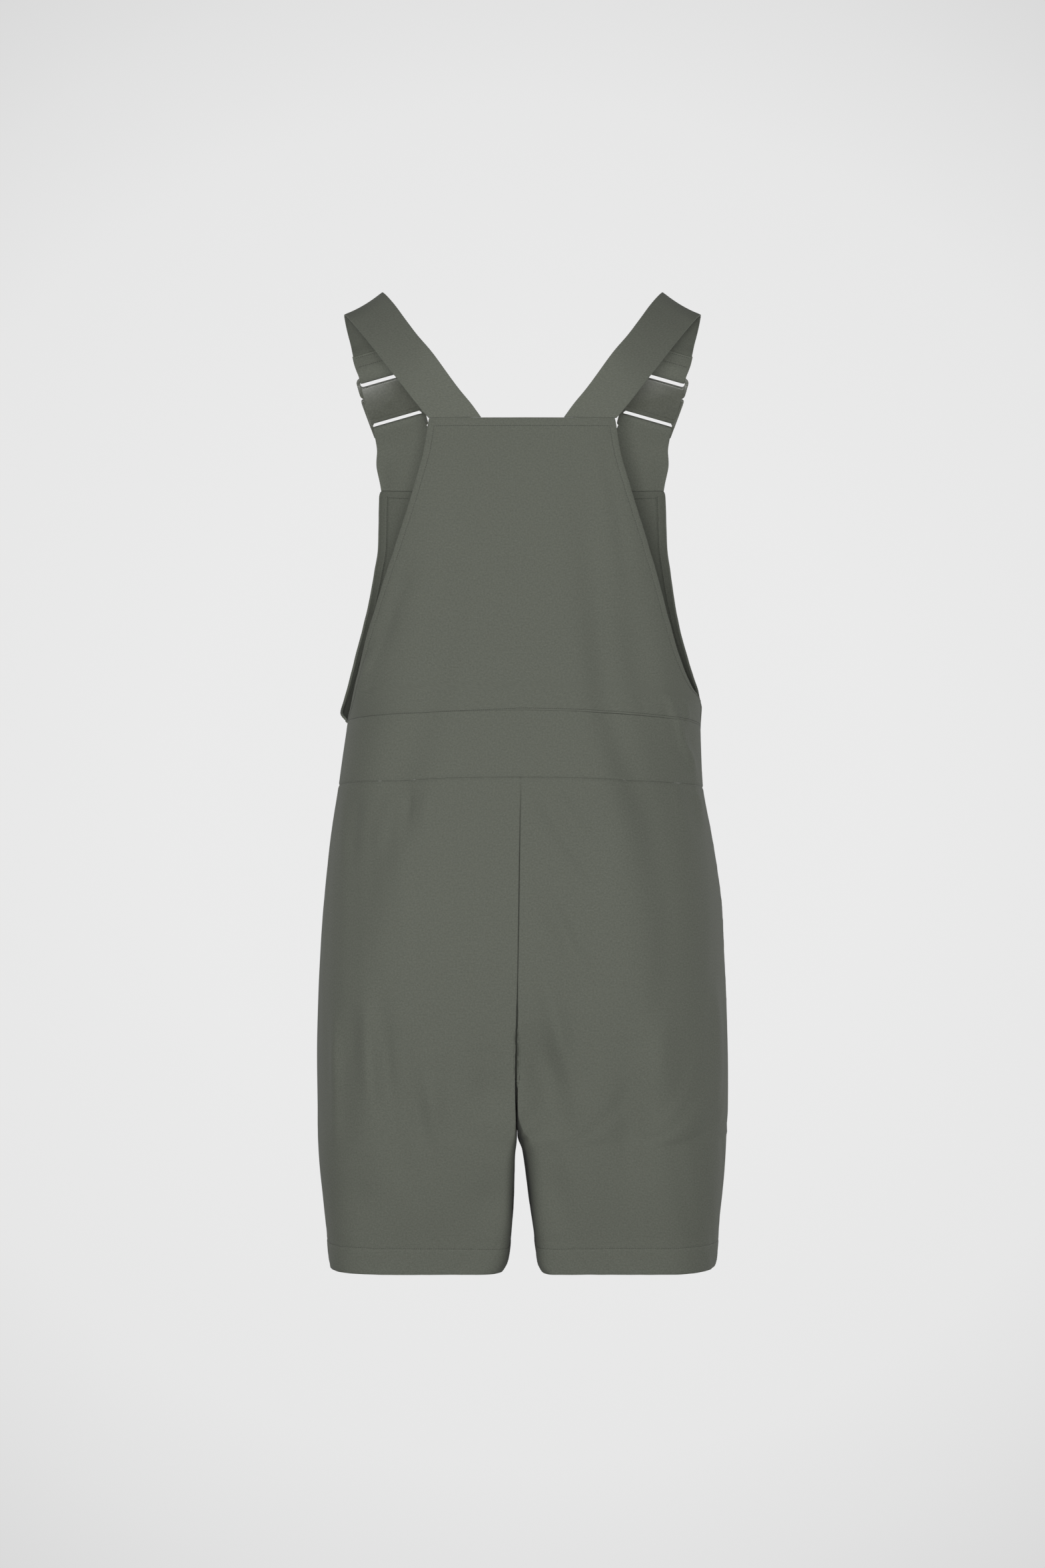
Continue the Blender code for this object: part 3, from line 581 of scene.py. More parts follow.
def pathRelief(front, x, z):
    # each crease fades toward both ends, widens along its line and wavers a little in height
    out = np.zeros_like(z)
    for line, wide, high in (frontPaths if front else backPaths):
        points = np.array(line, dtype=float)
        run = walkLine(points)
        near = np.full(z.shape, 1e9)
        share = np.zeros_like(z)
        for k in range(len(points) - 1):
            start, span = points[k], points[k + 1] - points[k]
            t = ((x - start[0]) * span[0] + (z - start[1]) * span[1]) / (span @ span)
            held = np.clip(t, 0, 1)
            gap = np.hypot(x - start[0] - held * span[0], z - start[1] - held * span[1])
            closer = gap < near
            near = np.where(closer, gap, near)
            share = np.where(closer, (run[k] + held * (run[k + 1] - run[k])) / run[-1], share)
        body = np.clip(np.sin(math.pi * np.clip(share, 0.02, 0.98)), 0, 1) ** 0.6
        body *= 0.82 + 0.18 * np.sin(share * 9.0 + wide)
        out += high * body * bell(near, wide * (0.85 + 0.3 * share))
    return out


def softWave(side, z, seed, high):
    # the slow hang of the cloth: long uneven flutes down it
    drift = 0.9 * np.sin(z / 130.0 + seed)
    strength = 0.55 + 0.45 * np.sin(z / 95.0 + 1.7 * seed)
    return high * uneven(side / 17.0 + drift, seed) * strength


def sheetMesh(name, grid, normals, high, wall, wallWeight, material, closedRims=0.35):
    # a Blender grid whose points are moved onto the form, given its wall and softened rims
    down, across = grid.shape[:2]
    deselectAll()
    bpy.ops.mesh.primitive_grid_add(x_subdivisions=across - 1, y_subdivisions=down - 1, size=1.0,
                                    calc_uvs=True)
    piece = bpy.context.object
    piece.name = name
    piece.data.name = name
    place = (grid + normals * high[:, :, None]) * mm
    flipped = place[::-1].reshape(-1, 3)
    piece.data.vertices.foreach_set("co", flipped.astype(np.float32).ravel())
    frames = gridFrames(grid)
    u = (frames["left"] - frames["width"] / 2)[::-1].ravel() * mm
    v = frames["top"][::-1].ravel() * -mm
    index = np.zeros(len(piece.data.loops), dtype=np.int32)
    piece.data.loops.foreach_get("vertex_index", index)
    uvs = np.stack([u[index], v[index]], axis=1).astype(np.float32)
    piece.data.uv_layers[0].data.foreach_set("uv", uvs.ravel())
    group = piece.vertex_groups.new(name="wall")
    weight = np.round(wallWeight[::-1].ravel(), 3)
    for level in np.unique(weight):
        group.add([int(n) for n in np.nonzero(weight == level)[0]], float(level), "REPLACE")
    shell = piece.modifiers.new("wall", "SOLIDIFY")
    shell.thickness = wall * mm
    shell.offset = -1.0
    shell.vertex_group = "wall"
    shell.use_even_offset = False
    if closedRims:
        rims = piece.modifiers.new("rims", "BEVEL")
        rims.width = closedRims * mm
        rims.segments = 2
        rims.limit_method = "ANGLE"
        rims.angle_limit = math.radians(62)
    applyAll(piece)
    bpy.ops.object.shade_smooth_by_angle(angle=math.radians(55))
    piece.data.materials.clear()
    piece.data.materials.append(material)
    return piece


# ---- stitches: one thread stitch modelled once, copied along each seam line

deselectAll()
bpy.ops.mesh.primitive_uv_sphere_add(segments=6, ring_count=4, radius=1.0)
stitchMaster = bpy.context.object
stitchMaster.name = "stitchMaster"
bpy.ops.transform.rotate(value=math.radians(90), orient_axis="Y", center_override=(0, 0, 0))
bpy.ops.object.transform_apply(location=True, rotation=True, scale=True)
for corner in stitchMaster.data.vertices:
    corner.co.x *= 0.78 * mm
    corner.co.y *= 0.26 * mm
    corner.co.z *= 0.2 * mm
bpy.ops.object.shade_smooth()
stitchMaster.data.materials.append(thread)


def lineOnSheet(sheet, edge, inset, start=0.0, stop=1.0, inside=False):
    # points and outward normals along a sheet, at an even distance from one of its edges
    frames = sheet["frames"]
    field = frames[edge]
    surface = sheet["grid"] + frames["normal"] * sheet["high"][:, :, None]
    if inside:
        surface = surface - frames["normal"] * (sheet["wall"] * sheet["weight"])[:, :, None]
    byRow = edge in ("left", "right")
    lines = surface if byRow else surface.transpose(1, 0, 2)
    faces = frames["normal"] if byRow else frames["normal"].transpose(1, 0, 2)
    far = field if byRow else field.T
    points, normals = [], []
    for k in range(len(lines)):
        order = slice(None) if far[k][0] < far[k][-1] else slice(None, None, -1)
        t = np.interp(inset, far[k][order], np.arange(len(far[k])))
        i = int(min(t, len(far[k]) - 2))
        f = t - i
        one, way = lines[k][order], faces[k][order]
        points.append(one[i] * (1 - f) + one[i + 1] * f)
        normals.append(way[i] * (1 - f) + way[i + 1] * f)
    points, normals = np.array(points), np.array(normals)
    along = walkLine(points)
    keep = (along >= along[-1] * start) & (along <= along[-1] * stop)
    return points[keep], normals[keep] * (-1 if inside else 1)


def layStitches(name, points, normals, pitch=2.0, lift=0.06, ends=1.0):
    along = walkLine(points)
    count = max(int((along[-1] - 2 * ends) / pitch), 1)
    copies = []
    for n in range(count):
        s = ends + (n + 0.5) * (along[-1] - 2 * ends) / count
        here = np.array([np.interp(s, along, points[:, k]) for k in range(3)])
        ahead = np.array([np.interp(s + 0.6, along, points[:, k]) for k in range(3)])
        behind = np.array([np.interp(s - 0.6, along, points[:, k]) for k in range(3)])
        up = np.array([np.interp(s, along, normals[:, k]) for k in range(3)])
        forward = Vector(ahead - behind).normalized()
        out = Vector(up).normalized()
        sideways = out.cross(forward).normalized()
        out = forward.cross(sideways).normalized()
        turn = Matrix((forward, sideways, out)).transposed().to_4x4()
        middle = Vector(here * mm) + out * (lift * mm)
        copy = stitchMaster.copy()
        copy.data = stitchMaster.data.copy()
        copy.data.transform(Matrix.Translation(middle) @ turn)
        bpy.context.collection.objects.link(copy)
        copies.append(copy)
    deselectAll()
    for copy in copies:
        copy.select_set(True)
    bpy.context.view_layer.objects.active = copies[0]
    bpy.ops.object.join()
    seam = bpy.context.object
    seam.name = name
    seam.data.name = name
    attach(seam, "root")
    return seam


def finishSheet(piece, node):
    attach(piece, "root")
    if node:
        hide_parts(node)


# ---- legs

def makeLeg(hand, side, front):
    face = "front" if front else "back"
    panel = face + "Leg" + hand
    grid = legGrid(side, front)
    frames = gridFrames(grid)
    outward = frames["right"] if (side > 0) != front else frames["left"]
    inward = frames["left"] if (side > 0) != front else frames["right"]
    # beside the middle seam the relief goes straight back or forward, so that the seam stays shut
    normal = frames["normal"]
    aside = 1 - bell(inward, 3.0) * smoothStep((grid[:, :, 2] + 800) / 20)
    normal[:, :, 0] *= aside
    normal /= np.linalg.norm(normal, axis=2)[:, :, None] + 1e-9
    seed = 1.3 + 0.9 * side + (2.2 if front else 0.0)
    share = inward / frames["width"]
    z = frames["z"]
    high = foldRelief(panel, share, z, frames["width"]) * (1.0 if front else 0.7)
    high += pathRelief(front, frames["x"], z)
    calm = smoothStep((outward - 2) / 28) * smoothStep((inward - 2) / 20)
    high += softWave(inward, z, seed, 0.9) * calm * smoothStep((frames["top"] - 1) / 25)
    # seams roll in, the waist seam too, and pucker a little beside the thread
    roll = legSheet["seamRoll"]
    high -= roll * (bell(outward, 1.5) + bell(inward, 1.3))
    high -= roll * 1.3 * bell(frames["top"], 1.4)
    high += 0.16 * uneven(z / 2.9, seed) * bell(outward - 4.5, 4.0)
    high += 0.14 * uneven(z / 3.3, seed + 2) * bell(inward - 4.5, 4.0)
    high += 0.15 * uneven(inward / 3.1, seed + 1) * bell(frames["top"] - 4, 4.0)
    # the turned hem stands a little proud, its stitch line sunk, with short uneven puckers
    foot = frames["foot"]
    nearSide = 0.35 + 0.65 * smoothStep((70 - outward) / 60)
    high += 0.3 * smoothStep((legSheet["hemDitch"] + 1.0 - foot) / 2.2)
    high -= 0.28 * bell(foot - legSheet["hemDitch"], 0.9)
    high += 0.34 * nearSide * uneven(inward / 2.7 + 0.16 * foot, seed + 3) * bell(foot - 21, 9)
    high += 0.2 * uneven(inward / 3.4, seed + 4) * bell(foot - 29, 5)
    high -= 0.5 * bell(foot - 29, 12) * (1 - bell(foot, 22))
    high += 0.5 * uneven(inward / 11.0 + 0.04 * foot, seed + 5) * bell(foot - 6, 14) * calm
    high -= 0.3 * bell(foot, 0.8)
    weight = np.where(foot <= legSheet["hemDitch"] + 0.1, 1.0, 0.6)
    name = f"{face}Leg{hand}Cloth"
    piece = sheetMesh(name, grid, frames["normal"], high, 2.1, weight, shellCloth, 0.2)
    sheet = {"grid": grid, "frames": frames, "high": high, "wall": 2.1, "weight": weight}
    points, normals = lineOnSheet(sheet, "foot", legSheet["hemDitch"])
    seam = layStitches(f"{face}Hem{hand}Stitch", points, normals)
    finishSheet(piece, f"{face}_leg_{hand.lower()}")
    return sheet


for hand, side in (("Left", -1), ("Right", 1)):
    for front in (False, True):
        makeLeg(hand, side, front)
print("legs made")

# ---- waistbands

def makeBand(front):
    face = "front" if front else "back"
    grid = bandGrid(front)
    frames = gridFrames(grid)
    z, x = frames["z"], frames["x"]
    seed = 4.1 if front else 2.6
    outward = np.minimum(frames["left"], frames["right"])
    high = pathRelief(front, x, z)
    calm = smoothStep((outward - 3) / 25) * smoothStep(frames["top"] / 18)
    calm *= smoothStep(frames["foot"] / 18)
    high += softWave(x, z, seed, 0.35) * calm
    roll = bandSheet["seamRoll"]
    high -= roll * bell(outward, 1.4)
    high -= roll * (0.1 * bell(frames["top"], 1.0) + 1.7 * bell(frames["foot"], 1.3))
    high += 0.17 * uneven(x / 3.2, seed) * bell(frames["foot"] - 4.5, 4.0)
    high += 0.15 * uneven(x / 2.8, seed + 1) * bell(frames["top"] - 4.0, 4.0)
    high += 0.15 * uneven(z / 3.0, seed + 2) * bell(outward - 4.0, 3.5)
    weight = np.full(z.shape, 1.0)
    piece = sheetMesh(f"{face}WaistbandCloth", grid, frames["normal"], high, bandSheet["wall"],
                      weight, shellCloth, 0.12)
    finishSheet(piece, f"{face}_waistband")


makeBand(False)
makeBand(True)
print("waistbands made")

# ---- bibs

def makeBib(front):
    face = "front" if front else "back"
    grid = bibGrid(front)
    frames = gridFrames(grid)
    z, x = frames["z"], frames["x"]
    seed = 5.7 if front else 0.8
    outward = np.minimum(frames["left"], frames["right"])
    topLine = 8.5 if front else bibSheet["topLine"]
    edgeLine = 8.0 if front else bibSheet["edgeLine"]
    high = pathRelief(front, x, z)
    calm = smoothStep((outward - 8) / 30) * smoothStep((frames["foot"] - 1) / 25)
    high += softWave(x, z, seed, 0.55) * calm
    # turned edges: proud to the stitch line, sunk at it, puckered either side
    edge = np.minimum(frames["top"] * edgeLine / topLine, outward)
    high += 0.3 * smoothStep((edgeLine + 1.2 - edge) / 2.4)
    high -= 0.2 * bell(edge - edgeLine, 0.8)
    high += 0.17 * uneven(z / 2.9, seed) * bell(outward - edgeLine, 4.5)
    high += 0.15 * uneven(x / 2.8, seed + 1) * bell(frames["top"] - topLine, 4.5)
    high += 0.3 * uneven(z / 13.0, seed + 2) * bell(outward, 9.0)
    high -= 0.3 * bell(edge, 0.7)
    # the foot goes into the waistband seam, with a fine row of thread just above it
    high -= 0.04 * bell(frames["foot"], 0.9)
    high += 0.15 * uneven(x / 2.6, seed + 3) * bell(frames["foot"] - 4.0, 3.5)
    weight = np.where(edge <= edgeLine + 0.3, 1.0, 0.62)
    wall = 2.1
    piece = sheetMesh(f"{face}BibCloth", grid, frames["normal"], high, wall, weight, shellCloth)
    sheet = {"grid": grid, "frames": frames, "high": high, "wall": wall, "weight": weight}
    rims = (("top", topLine, "Top"), ("left", edgeLine, "SideA"), ("right", edgeLine, "SideB"))
    for edgeName, inset, label in rims:
        for inside in (False, True):
            points, normals = lineOnSheet(sheet, edgeName, inset, 0.02, 0.985, inside)
            layer = "Inner" if inside else "Outer"
            layStitches(f"{face}Bib{label}{layer}Stitch", points, normals)
    points, normals = lineOnSheet(sheet, "foot", 1.9, 0.03, 0.97)
    layStitches(f"{face}BibFootStitch", points, normals, 1.9)
    finishSheet(piece, f"{face}_bib")
    return sheet


makeBib(False)
makeBib(True)
print("bibs made")

# ---- straps and tabs

strapSheet = {"across": 14, "step": 2.0, "wall": 1.8, "lean": 16.0, "tilt": 20.0,
              "origin": (127.6, 90.0, -79.6)}
# the strap from the back bib over the shoulder: outer edge, inner edge, hollow across it
strapStations = [
    (-86.2, -93.6, -118.7, -37.8, -99.9, -118.7, 0.0),
    (-90.5, -92.6, -113.8, -46.2, -98.6, -107.0, 0.0),
    (-97.0, -90.2, -105.6, -56.6, -96.4, -94.2, 0.0),
    (-114.2, -81.0, -83.0, -83.8, -85.5, -56.4, 0.4),
    (-127.4, -68.0, -65.2, -96.8, -72.0, -40.0, 0.8),
    (-140.4, -52.0, -47.4, -108.5, -54.0, -22.9, 1.2),
    (-153.6, -32.0, -29.6, -119.8, -32.0, -5.6, 1.6),
    (-163.4, -14.0, -16.8, -128.4, -13.0, 5.9, 2.0),
    (-168.4, 2.0, -11.0, -132.2, 3.0, 10.4, 2.1),
    (-168.9, 20.0, -14.0, -131.6, 21.0, 7.0, 1.7),
    (-167.6, 40.0, -22.4, -129.0, 42.0, -3.4, 1.2),
    (-165.2, 58.0, -33.0, -124.6, 60.5, -16.4, 0.8),
]
# then round the buckle's upper bar and back on itself: half width, depth, height
strapLoop = [
    (24.2, -2.6, 51.0), (24.6, -0.3, 43.0), (24.6, 1.1, 35.0), (24.4, 1.5, 31.7),
    (24.4, 2.8, 28.4), (24.4, 2.7, 24.6), (24.4, 2.35, 23.75), (24.4, 1.5, 23.4),
    (24.4, -1.5, 23.4), (24.4, -2.35, 23.75), (24.4, -2.7, 24.6), (24.4, -2.8, 28.4),
    (24.6, -1.7, 31.7), (25.0, -1.1, 35.0), (25.4, -2.5, 43.0), (25.0, -4.8, 51.0),
]
tabLoop = [
    (26.8, 2.6, -42.0), (26.0, 2.6, -34.5), (24.7, 2.6, -24.2), (24.7, 2.28, -23.42),
    (24.7, 1.5, -23.1), (24.7, -1.5, -23.1), (24.7, -2.28, -23.42), (24.7, -2.6, -24.2),
    (26.0, -2.6, -34.5), (26.8, -2.4, -42.0),
]
tabFoot = [(-146.0, 117.2, 25.2), (-164.0, 114.4, 24.2), (-182.0, 112.0, 24.2)]


def bucklePlace(side):
    x, y, z = strapSheet["origin"]
    place = Matrix.Translation(Vector((side * x, y, z)) * mm)
    lean = Matrix.Rotation(side * math.radians(strapSheet["lean"]), 4, "Y")
    return place @ lean @ Matrix.Rotation(math.radians(strapSheet["tilt"]), 4, "X")


def loopRows(place, side, rows, across):
    out = []
    for half, y, z in rows:
        line = []
        for t in np.linspace(0, 1, across + 1):
            line.append(place @ (Vector((side * half * (1 - 2 * t), y, z)) * mm) / mm)
        out.append(line)
    return [[tuple(p) for p in line] for line in out]


def smoothRows(rows, step):
    # rows along a strip, by a rounded curve that keeps every station
    rows = np.array(rows, dtype=float)
    middle = rows[:, rows.shape[1] // 2]
    along = walkLine(middle)
    slopes = np.gradient(rows, along, axis=0)
    out = []
    for i in range(len(rows) - 1):
        h = along[i + 1] - along[i]
        a, b = slopes[i] * h, slopes[i + 1] * h
        count = max(int(round(h / step)), 1)
        for t in np.arange(count) / count:
            out.append(rows[i] * (2 * t ** 3 - 3 * t ** 2 + 1) + a * (t ** 3 - 2 * t ** 2 + t)
                       + rows[i + 1] * (3 * t ** 2 - 2 * t ** 3) + b * (t ** 3 - t ** 2))
    out.append(rows[-1])
    return np.array(out)


def strip(name, rows, wall, flip, relief):
    grid = np.array(rows, dtype=float)
    if flip:
        grid = grid[:, ::-1]
    frames = gridFrames(grid)
    high = relief(frames) if relief else np.zeros(grid.shape[:2])
    shift = grid + frames["normal"] * (wall / 2)
    weight = np.full(high.shape, 1.0)
    piece = sheetMesh(name, shift, frames["normal"], high, wall, weight, webClothPaintedLight, 0.45)
    return piece, {"grid": shift, "frames": frames, "high": high, "wall": wall, "weight": weight}


def makeStrap(hand, side):
    across = strapSheet["across"]
    rows = []
    for outX, outY, outZ, inX, inY, inZ, sag in strapStations:
        line = []
        for t in np.linspace(0, 1, across + 1):
            dip = sag * 4 * t * (1 - t)
            line.append((-side * (outX + (inX - outX) * t), outY + (inY - outY) * t,
                         outZ + (inZ - outZ) * t - dip))
        rows.append(line)
    rows += loopRows(bucklePlace(side), side, strapLoop, across)
    grid = smoothRows(rows, strapSheet["step"])

    def relief(frames):
        lane = np.minimum(frames["left"], frames["right"])
        return -0.2 * bell(lane, 1.0)

    piece, sheet = strip(f"strap{hand}Cloth", grid, strapSheet["wall"], side < 0, relief)
    place = bucklePlace(side)
    for label, height, depth in (("A", 49.0, -4.2), ("B", 39.4, -1.75)):
        line = [place @ (Vector((side * half, depth - 0.95, height)) * mm) / mm
                for half in np.linspace(-23.4, 23.4, 24)]
        out = place.to_3x3() @ Vector((0, -1, 0.2))
        points = np.array([tuple(p) for p in line])
        normals = np.tile(np.array(out), (len(points), 1))
        layStitches(f"strap{hand}End{label}Stitch", points, normals)
    finishSheet(piece, f"strap_{hand.lower()}")


def frontSurface(x, z):
    row = bibRow(frontBibRows, z, 1, True, 60)
    return np.interp(abs(x), row[:, 0], row[:, 1])


def makeTab(hand, side):
    across = 12
    wall = 1.6

    def foot(z, middle, half, layer):
        line = []
        for t in np.linspace(0, 1, across + 1):
            x = middle + half * (1 - 2 * t)
            line.append((side * x, frontSurface(x, max(min(z, -168.0), -386.0)) + layer, z))
        return line

    inner = 0.6 + wall * 0.5
    outer = inner + wall + 0.4
    rows = [foot(z, middle, half, outer) for z, middle, half in tabFoot[::-1]]
    rows += loopRows(bucklePlace(side), side, tabLoop, across)
    rows += [foot(z, middle, half, inner) for z, middle, half in tabFoot]
    grid = smoothRows(rows, 2.0)

    def relief(frames):
        lane = np.minimum(frames["left"], frames["right"])
        return -0.2 * bell(lane, 1.0)

    piece, sheet = strip(f"frontTab{hand}Cloth", grid, wall, side > 0, relief)
    finishSheet(piece, f"front_tab_{hand.lower()}")


for hand, side in (("Left", -1), ("Right", 1)):
    makeStrap(hand, side)
    makeTab(hand, side)
print("straps and tabs made")

# ---- buckles

buckle = {
    "frameWide": 57.0, "frameLow": 6.95, "frameTop": 27.8, "frameThick": 5.0,
    "slotHalf": 25.0, "upperSlot": (18.4, 24.6), "lowerSlot": (-24.2, -18.6),
    "houseWide": 58.2, "houseTop": 6.65, "houseLow": -34.5, "houseThick": 6.6,
    "barThick": 3.0, "footShare": 0.9,
}


def block(name, wide, thick, low, high, corner=0.0, soft=0.0):
    # a flat plate with its corners rounded in its own plane
    deselectAll()
    bpy.ops.mesh.primitive_cube_add(size=1.0)
    piece = bpy.context.object
    piece.name = name
    for point in piece.data.vertices:
        point.co.x *= wide * mm
        point.co.y *= thick * mm
        point.co.z = (low + (point.co.z + 0.5) * (high - low)) * mm
    if corner:
        bpy.ops.object.mode_set(mode="EDIT")
        bpy.ops.mesh.select_mode(type="EDGE")
        bpy.ops.mesh.select_all(action="DESELECT")
        bpy.ops.object.mode_set(mode="OBJECT")
        for edge in piece.data.edges:
            a, b = (piece.data.vertices[n].co for n in edge.vertices)
            edge.select = abs(a.x - b.x) < 1e-6 and abs(a.z - b.z) < 1e-6
        bpy.ops.object.mode_set(mode="EDIT")
        bpy.ops.mesh.bevel(offset=corner * mm, segments=6, affect="EDGES")
        bpy.ops.object.mode_set(mode="OBJECT")
    if soft:
        rounding = piece.modifiers.new("soft", "BEVEL")
        rounding.width = soft * mm
        rounding.segments = 2
        rounding.limit_method = "ANGLE"
        rounding.angle_limit = math.radians(50)
        applyAll(piece)
    return piece


def cutWith(piece, cutter):
    cut = piece.modifiers.new("cut", "BOOLEAN")
    cut.operation = "DIFFERENCE"
    cut.solver = "EXACT"
    cut.object = cutter
    applyAll(piece)
    bpy.data.objects.remove(cutter, do_unlink=True)


def softenRims(piece, width, angle=40):
    rounding = piece.modifiers.new("rims", "BEVEL")
    rounding.width = width * mm
    rounding.segments = 3
    rounding.limit_method = "ANGLE"
    rounding.angle_limit = math.radians(angle)
    rounding.harden_normals = False
    applyAll(piece)
    bpy.ops.object.shade_smooth_by_angle(angle=math.radians(42))


def placeBlock(piece, x=0.0, y=0.0, z=0.0):
    piece.data.transform(Matrix.Translation(Vector((x, y, z)) * mm))
    return piece


def makeBuckle(hand, side):
    place = bucklePlace(side)
    b = buckle
    upper = block(f"buckleFrame{hand}", b["frameWide"], b["frameThick"], b["frameLow"],
                  b["frameTop"], 5.2)
    cutWith(upper, block("slot", 2 * b["slotHalf"], 20, *b["upperSlot"], 2.4))
    for face in (-1, 1):
        thin = block("thin", 90, 5, b["upperSlot"][1] - 2.4, b["frameTop"] + 5)
        placeBlock(thin, y=face * (b["barThick"] / 2 + 2.5))
        cutWith(upper, thin)
    softenRims(upper, 0.7)
    lower = block(f"buckleHousing{hand}", b["houseWide"], b["houseThick"], b["houseLow"],
                  b["houseTop"], 2.6)
    for point in lower.data.vertices:
        down = min(max((-12 * mm - point.co.z) / (22.5 * mm), 0.0), 1.0)
        outer = point.co.x * side > 0
        point.co.x *= 1 - (1 - (b["footShare"] if outer else 0.96)) * down
    cutWith(lower, block("slot", 2 * b["slotHalf"] - 1, 20, *b["lowerSlot"], 2.3))
    for face in (-1, 1):
        thin = block("thin", 90, 5, b["houseLow"] - 5, b["lowerSlot"][0] + 2.4)
        placeBlock(thin, y=face * (b["barThick"] / 2 + 2.5))
        cutWith(lower, thin)
        # fine parting lines down inside both edges
        for edge in (-1, 1):
            groove = block("groove", 0.5, 1.0, -13.5, 5.2)
            placeBlock(groove, x=edge * (b["houseWide"] / 2 - 2.3), y=face * b["houseThick"] / 2)
            cutWith(lower, groove)
        # the recess over the slot
        recess = block("recess", 51, 4.0, b["lowerSlot"][1] - 0.2, b["lowerSlot"][1] + 1.5)
        placeBlock(recess, y=face * b["houseThick"] / 2)
        cutWith(lower, recess)
    for edge in (-1, 1):
        notch = block("notch", 2.4, 20, 2.6, 4.2, 0.6)
        placeBlock(notch, x=edge * (b["houseWide"] / 2 + 0.3))
        cutWith(lower, notch)
    softenRims(lower, 0.4)
    # one smooth cover runs from the housing up to the strap's slot
    covers = []
    for face in (-1, 1):
        cover = block("cover", 52.4, 1.5, -14.0, b["upperSlot"][0] - 0.3, 2.0)
        placeBlock(cover, y=face * (b["houseThick"] / 2 - 0.35))
        softenRims(cover, 0.45)
        covers.append(cover)
    # a dark strip sits in the recess over the lower slot: painted shade for the housing rim's shaded
    # underside
    shade = block("shade", 50.4, 2.4, b["lowerSlot"][1] - 0.1, b["lowerSlot"][1] + 1.45)
    for piece in [upper, lower] + covers:
        piece.data.materials.clear()
        piece.data.materials.append(plateLook)
    shade.data.materials.append(slotPaintedShade)
    deselectAll()
    for piece in covers + [shade, lower]:
        piece.select_set(True)
    bpy.context.view_layer.objects.active = lower
    bpy.ops.object.join()
    for piece, node in ((upper, "buckle_frame"), (lower, "buckle_housing")):
        piece.data.transform(place)
        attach(piece, "root")
        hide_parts(f"{node}_{hand.lower()}")


for hand, side in (("Left", -1), ("Right", 1)):
    makeBuckle(hand, side)
print("buckles made")

bpy.data.objects.remove(stitchMaster, do_unlink=True)

# ---- the facing strip that shows inside the right underarm

def makeFacing():
    rows = []
    for z in np.linspace(-368.4, -379.9, 9):
        line = bibRow(frontBibRows, z, 1, True, 90)
        along = walkLine(line)
        stops = np.linspace(along[-1] - 13.2, along[-1] - 1.5, 12)
        rows.append(np.stack([np.interp(stops, along, line[:, k]) for k in range(3)], axis=1))
    grid = np.array(rows)
    frames = gridFrames(grid)
    shift = grid - frames["normal"] * 1.9 * np.sign((frames["normal"] * grid).sum(axis=2))[:, :, None]
    weight = np.full(grid.shape[:2], 1.0)
    high = 0.1 * uneven(frames["z"] / 2.0, 1.0)
    piece = sheetMesh("underarmFacing", shift, frames["normal"], high, 0.6, weight, facingClothPaintedLight, 0.0)
    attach(piece, "root")


makeFacing()

# ---- studio

deselectAll()
bpy.ops.mesh.primitive_grid_add(x_subdivisions=2, y_subdivisions=60, size=1.0)
sweep = bpy.context.object
sweep.name = "studioSweep"
for point in sweep.data.vertices:
    t = (point.co.y + 0.5) * 12.0
    x = point.co.x * 14.0
    if t < 6.0:
        point.co = (x, t * 8.8 / 6.0 - 5.4, -1.7)
    elif t < 8.0:
        turn = (t - 6.0) / 2.0 * math.pi / 2
        point.co = (x, 3.4 + 1.3 * math.sin(turn), -1.7 + 1.3 * (1 - math.cos(turn)))
    else:
        point.co = (x, 4.7, -0.4 + (t - 8.0))
pickOnly(sweep)
bpy.ops.object.shade_smooth()
sweep.visible_diffuse = False
sweep.visible_glossy = False


def glowingPaperFinish():
    # pale paper that glows by itself, though it is no lamp, with a painted fall-off of light that makes
    # it a little darker away from its middle
    material = bpy.data.materials.new("paper")
    material.use_nodes = True
    tree = material.node_tree
    link = tree.links.new
    tree.nodes.remove(tree.nodes["Principled BSDF"])
    glow = addNode(tree, "ShaderNodeEmission", (0, 0), in_Strength=1.0)
    link(glow.outputs[0], tree.nodes["Material Output"].inputs["Surface"])
    place = addNode(tree, "ShaderNodeTexCoord", (-1100, 0))
    parts = addNode(tree, "ShaderNodeSeparateXYZ", (-900, 0))
    link(place.outputs["Object"], parts.inputs[0])
    reach = addNode(tree, "ShaderNodeMath", (-700, -200), operation="ADD")
    reach.inputs[1].default_value = 3.1
    link(parts.outputs["Y"], reach.inputs[0])
    middle = addNode(tree, "ShaderNodeMath", (-700, 0), operation="ADD")
    middle.inputs[1].default_value = 0.4542
    link(parts.outputs["Z"], middle.inputs[0])
    flat = addNode(tree, "ShaderNodeCombineXYZ", (-500, 0))
    link(parts.outputs["X"], flat.inputs["X"])
    link(middle.outputs[0], flat.inputs["Z"])
    far = addNode(tree, "ShaderNodeVectorMath", (-330, 0), operation="LENGTH")
    link(flat.outputs[0], far.inputs[0])
    share = addNode(tree, "ShaderNodeMath", (-200, 0), operation="DIVIDE")
    link(far.outputs["Value"], share.inputs[0])
    link(reach.outputs[0], share.inputs[1])
    ramp = addNode(tree, "ShaderNodeValToRGB", (-60, 200))
    elements = ramp.color_ramp.elements
    elements[0].position, elements[0].color = 0.0, (0.832, 0.832, 0.832, 1)
    elements[1].position, elements[1].color = 0.29, (0.700, 0.700, 0.700, 1)
    for spot, tone in ((0.11, 0.826), (0.208, 0.798), (0.25, 0.755)):
        stop = elements.new(spot)
        stop.color = (tone, tone, tone, 1)
    link(share.outputs[0], ramp.inputs["Fac"])
    link(ramp.outputs["Color"], glow.inputs["Color"])
    return material


sweep.data.materials.append(glowingPaperFinish())

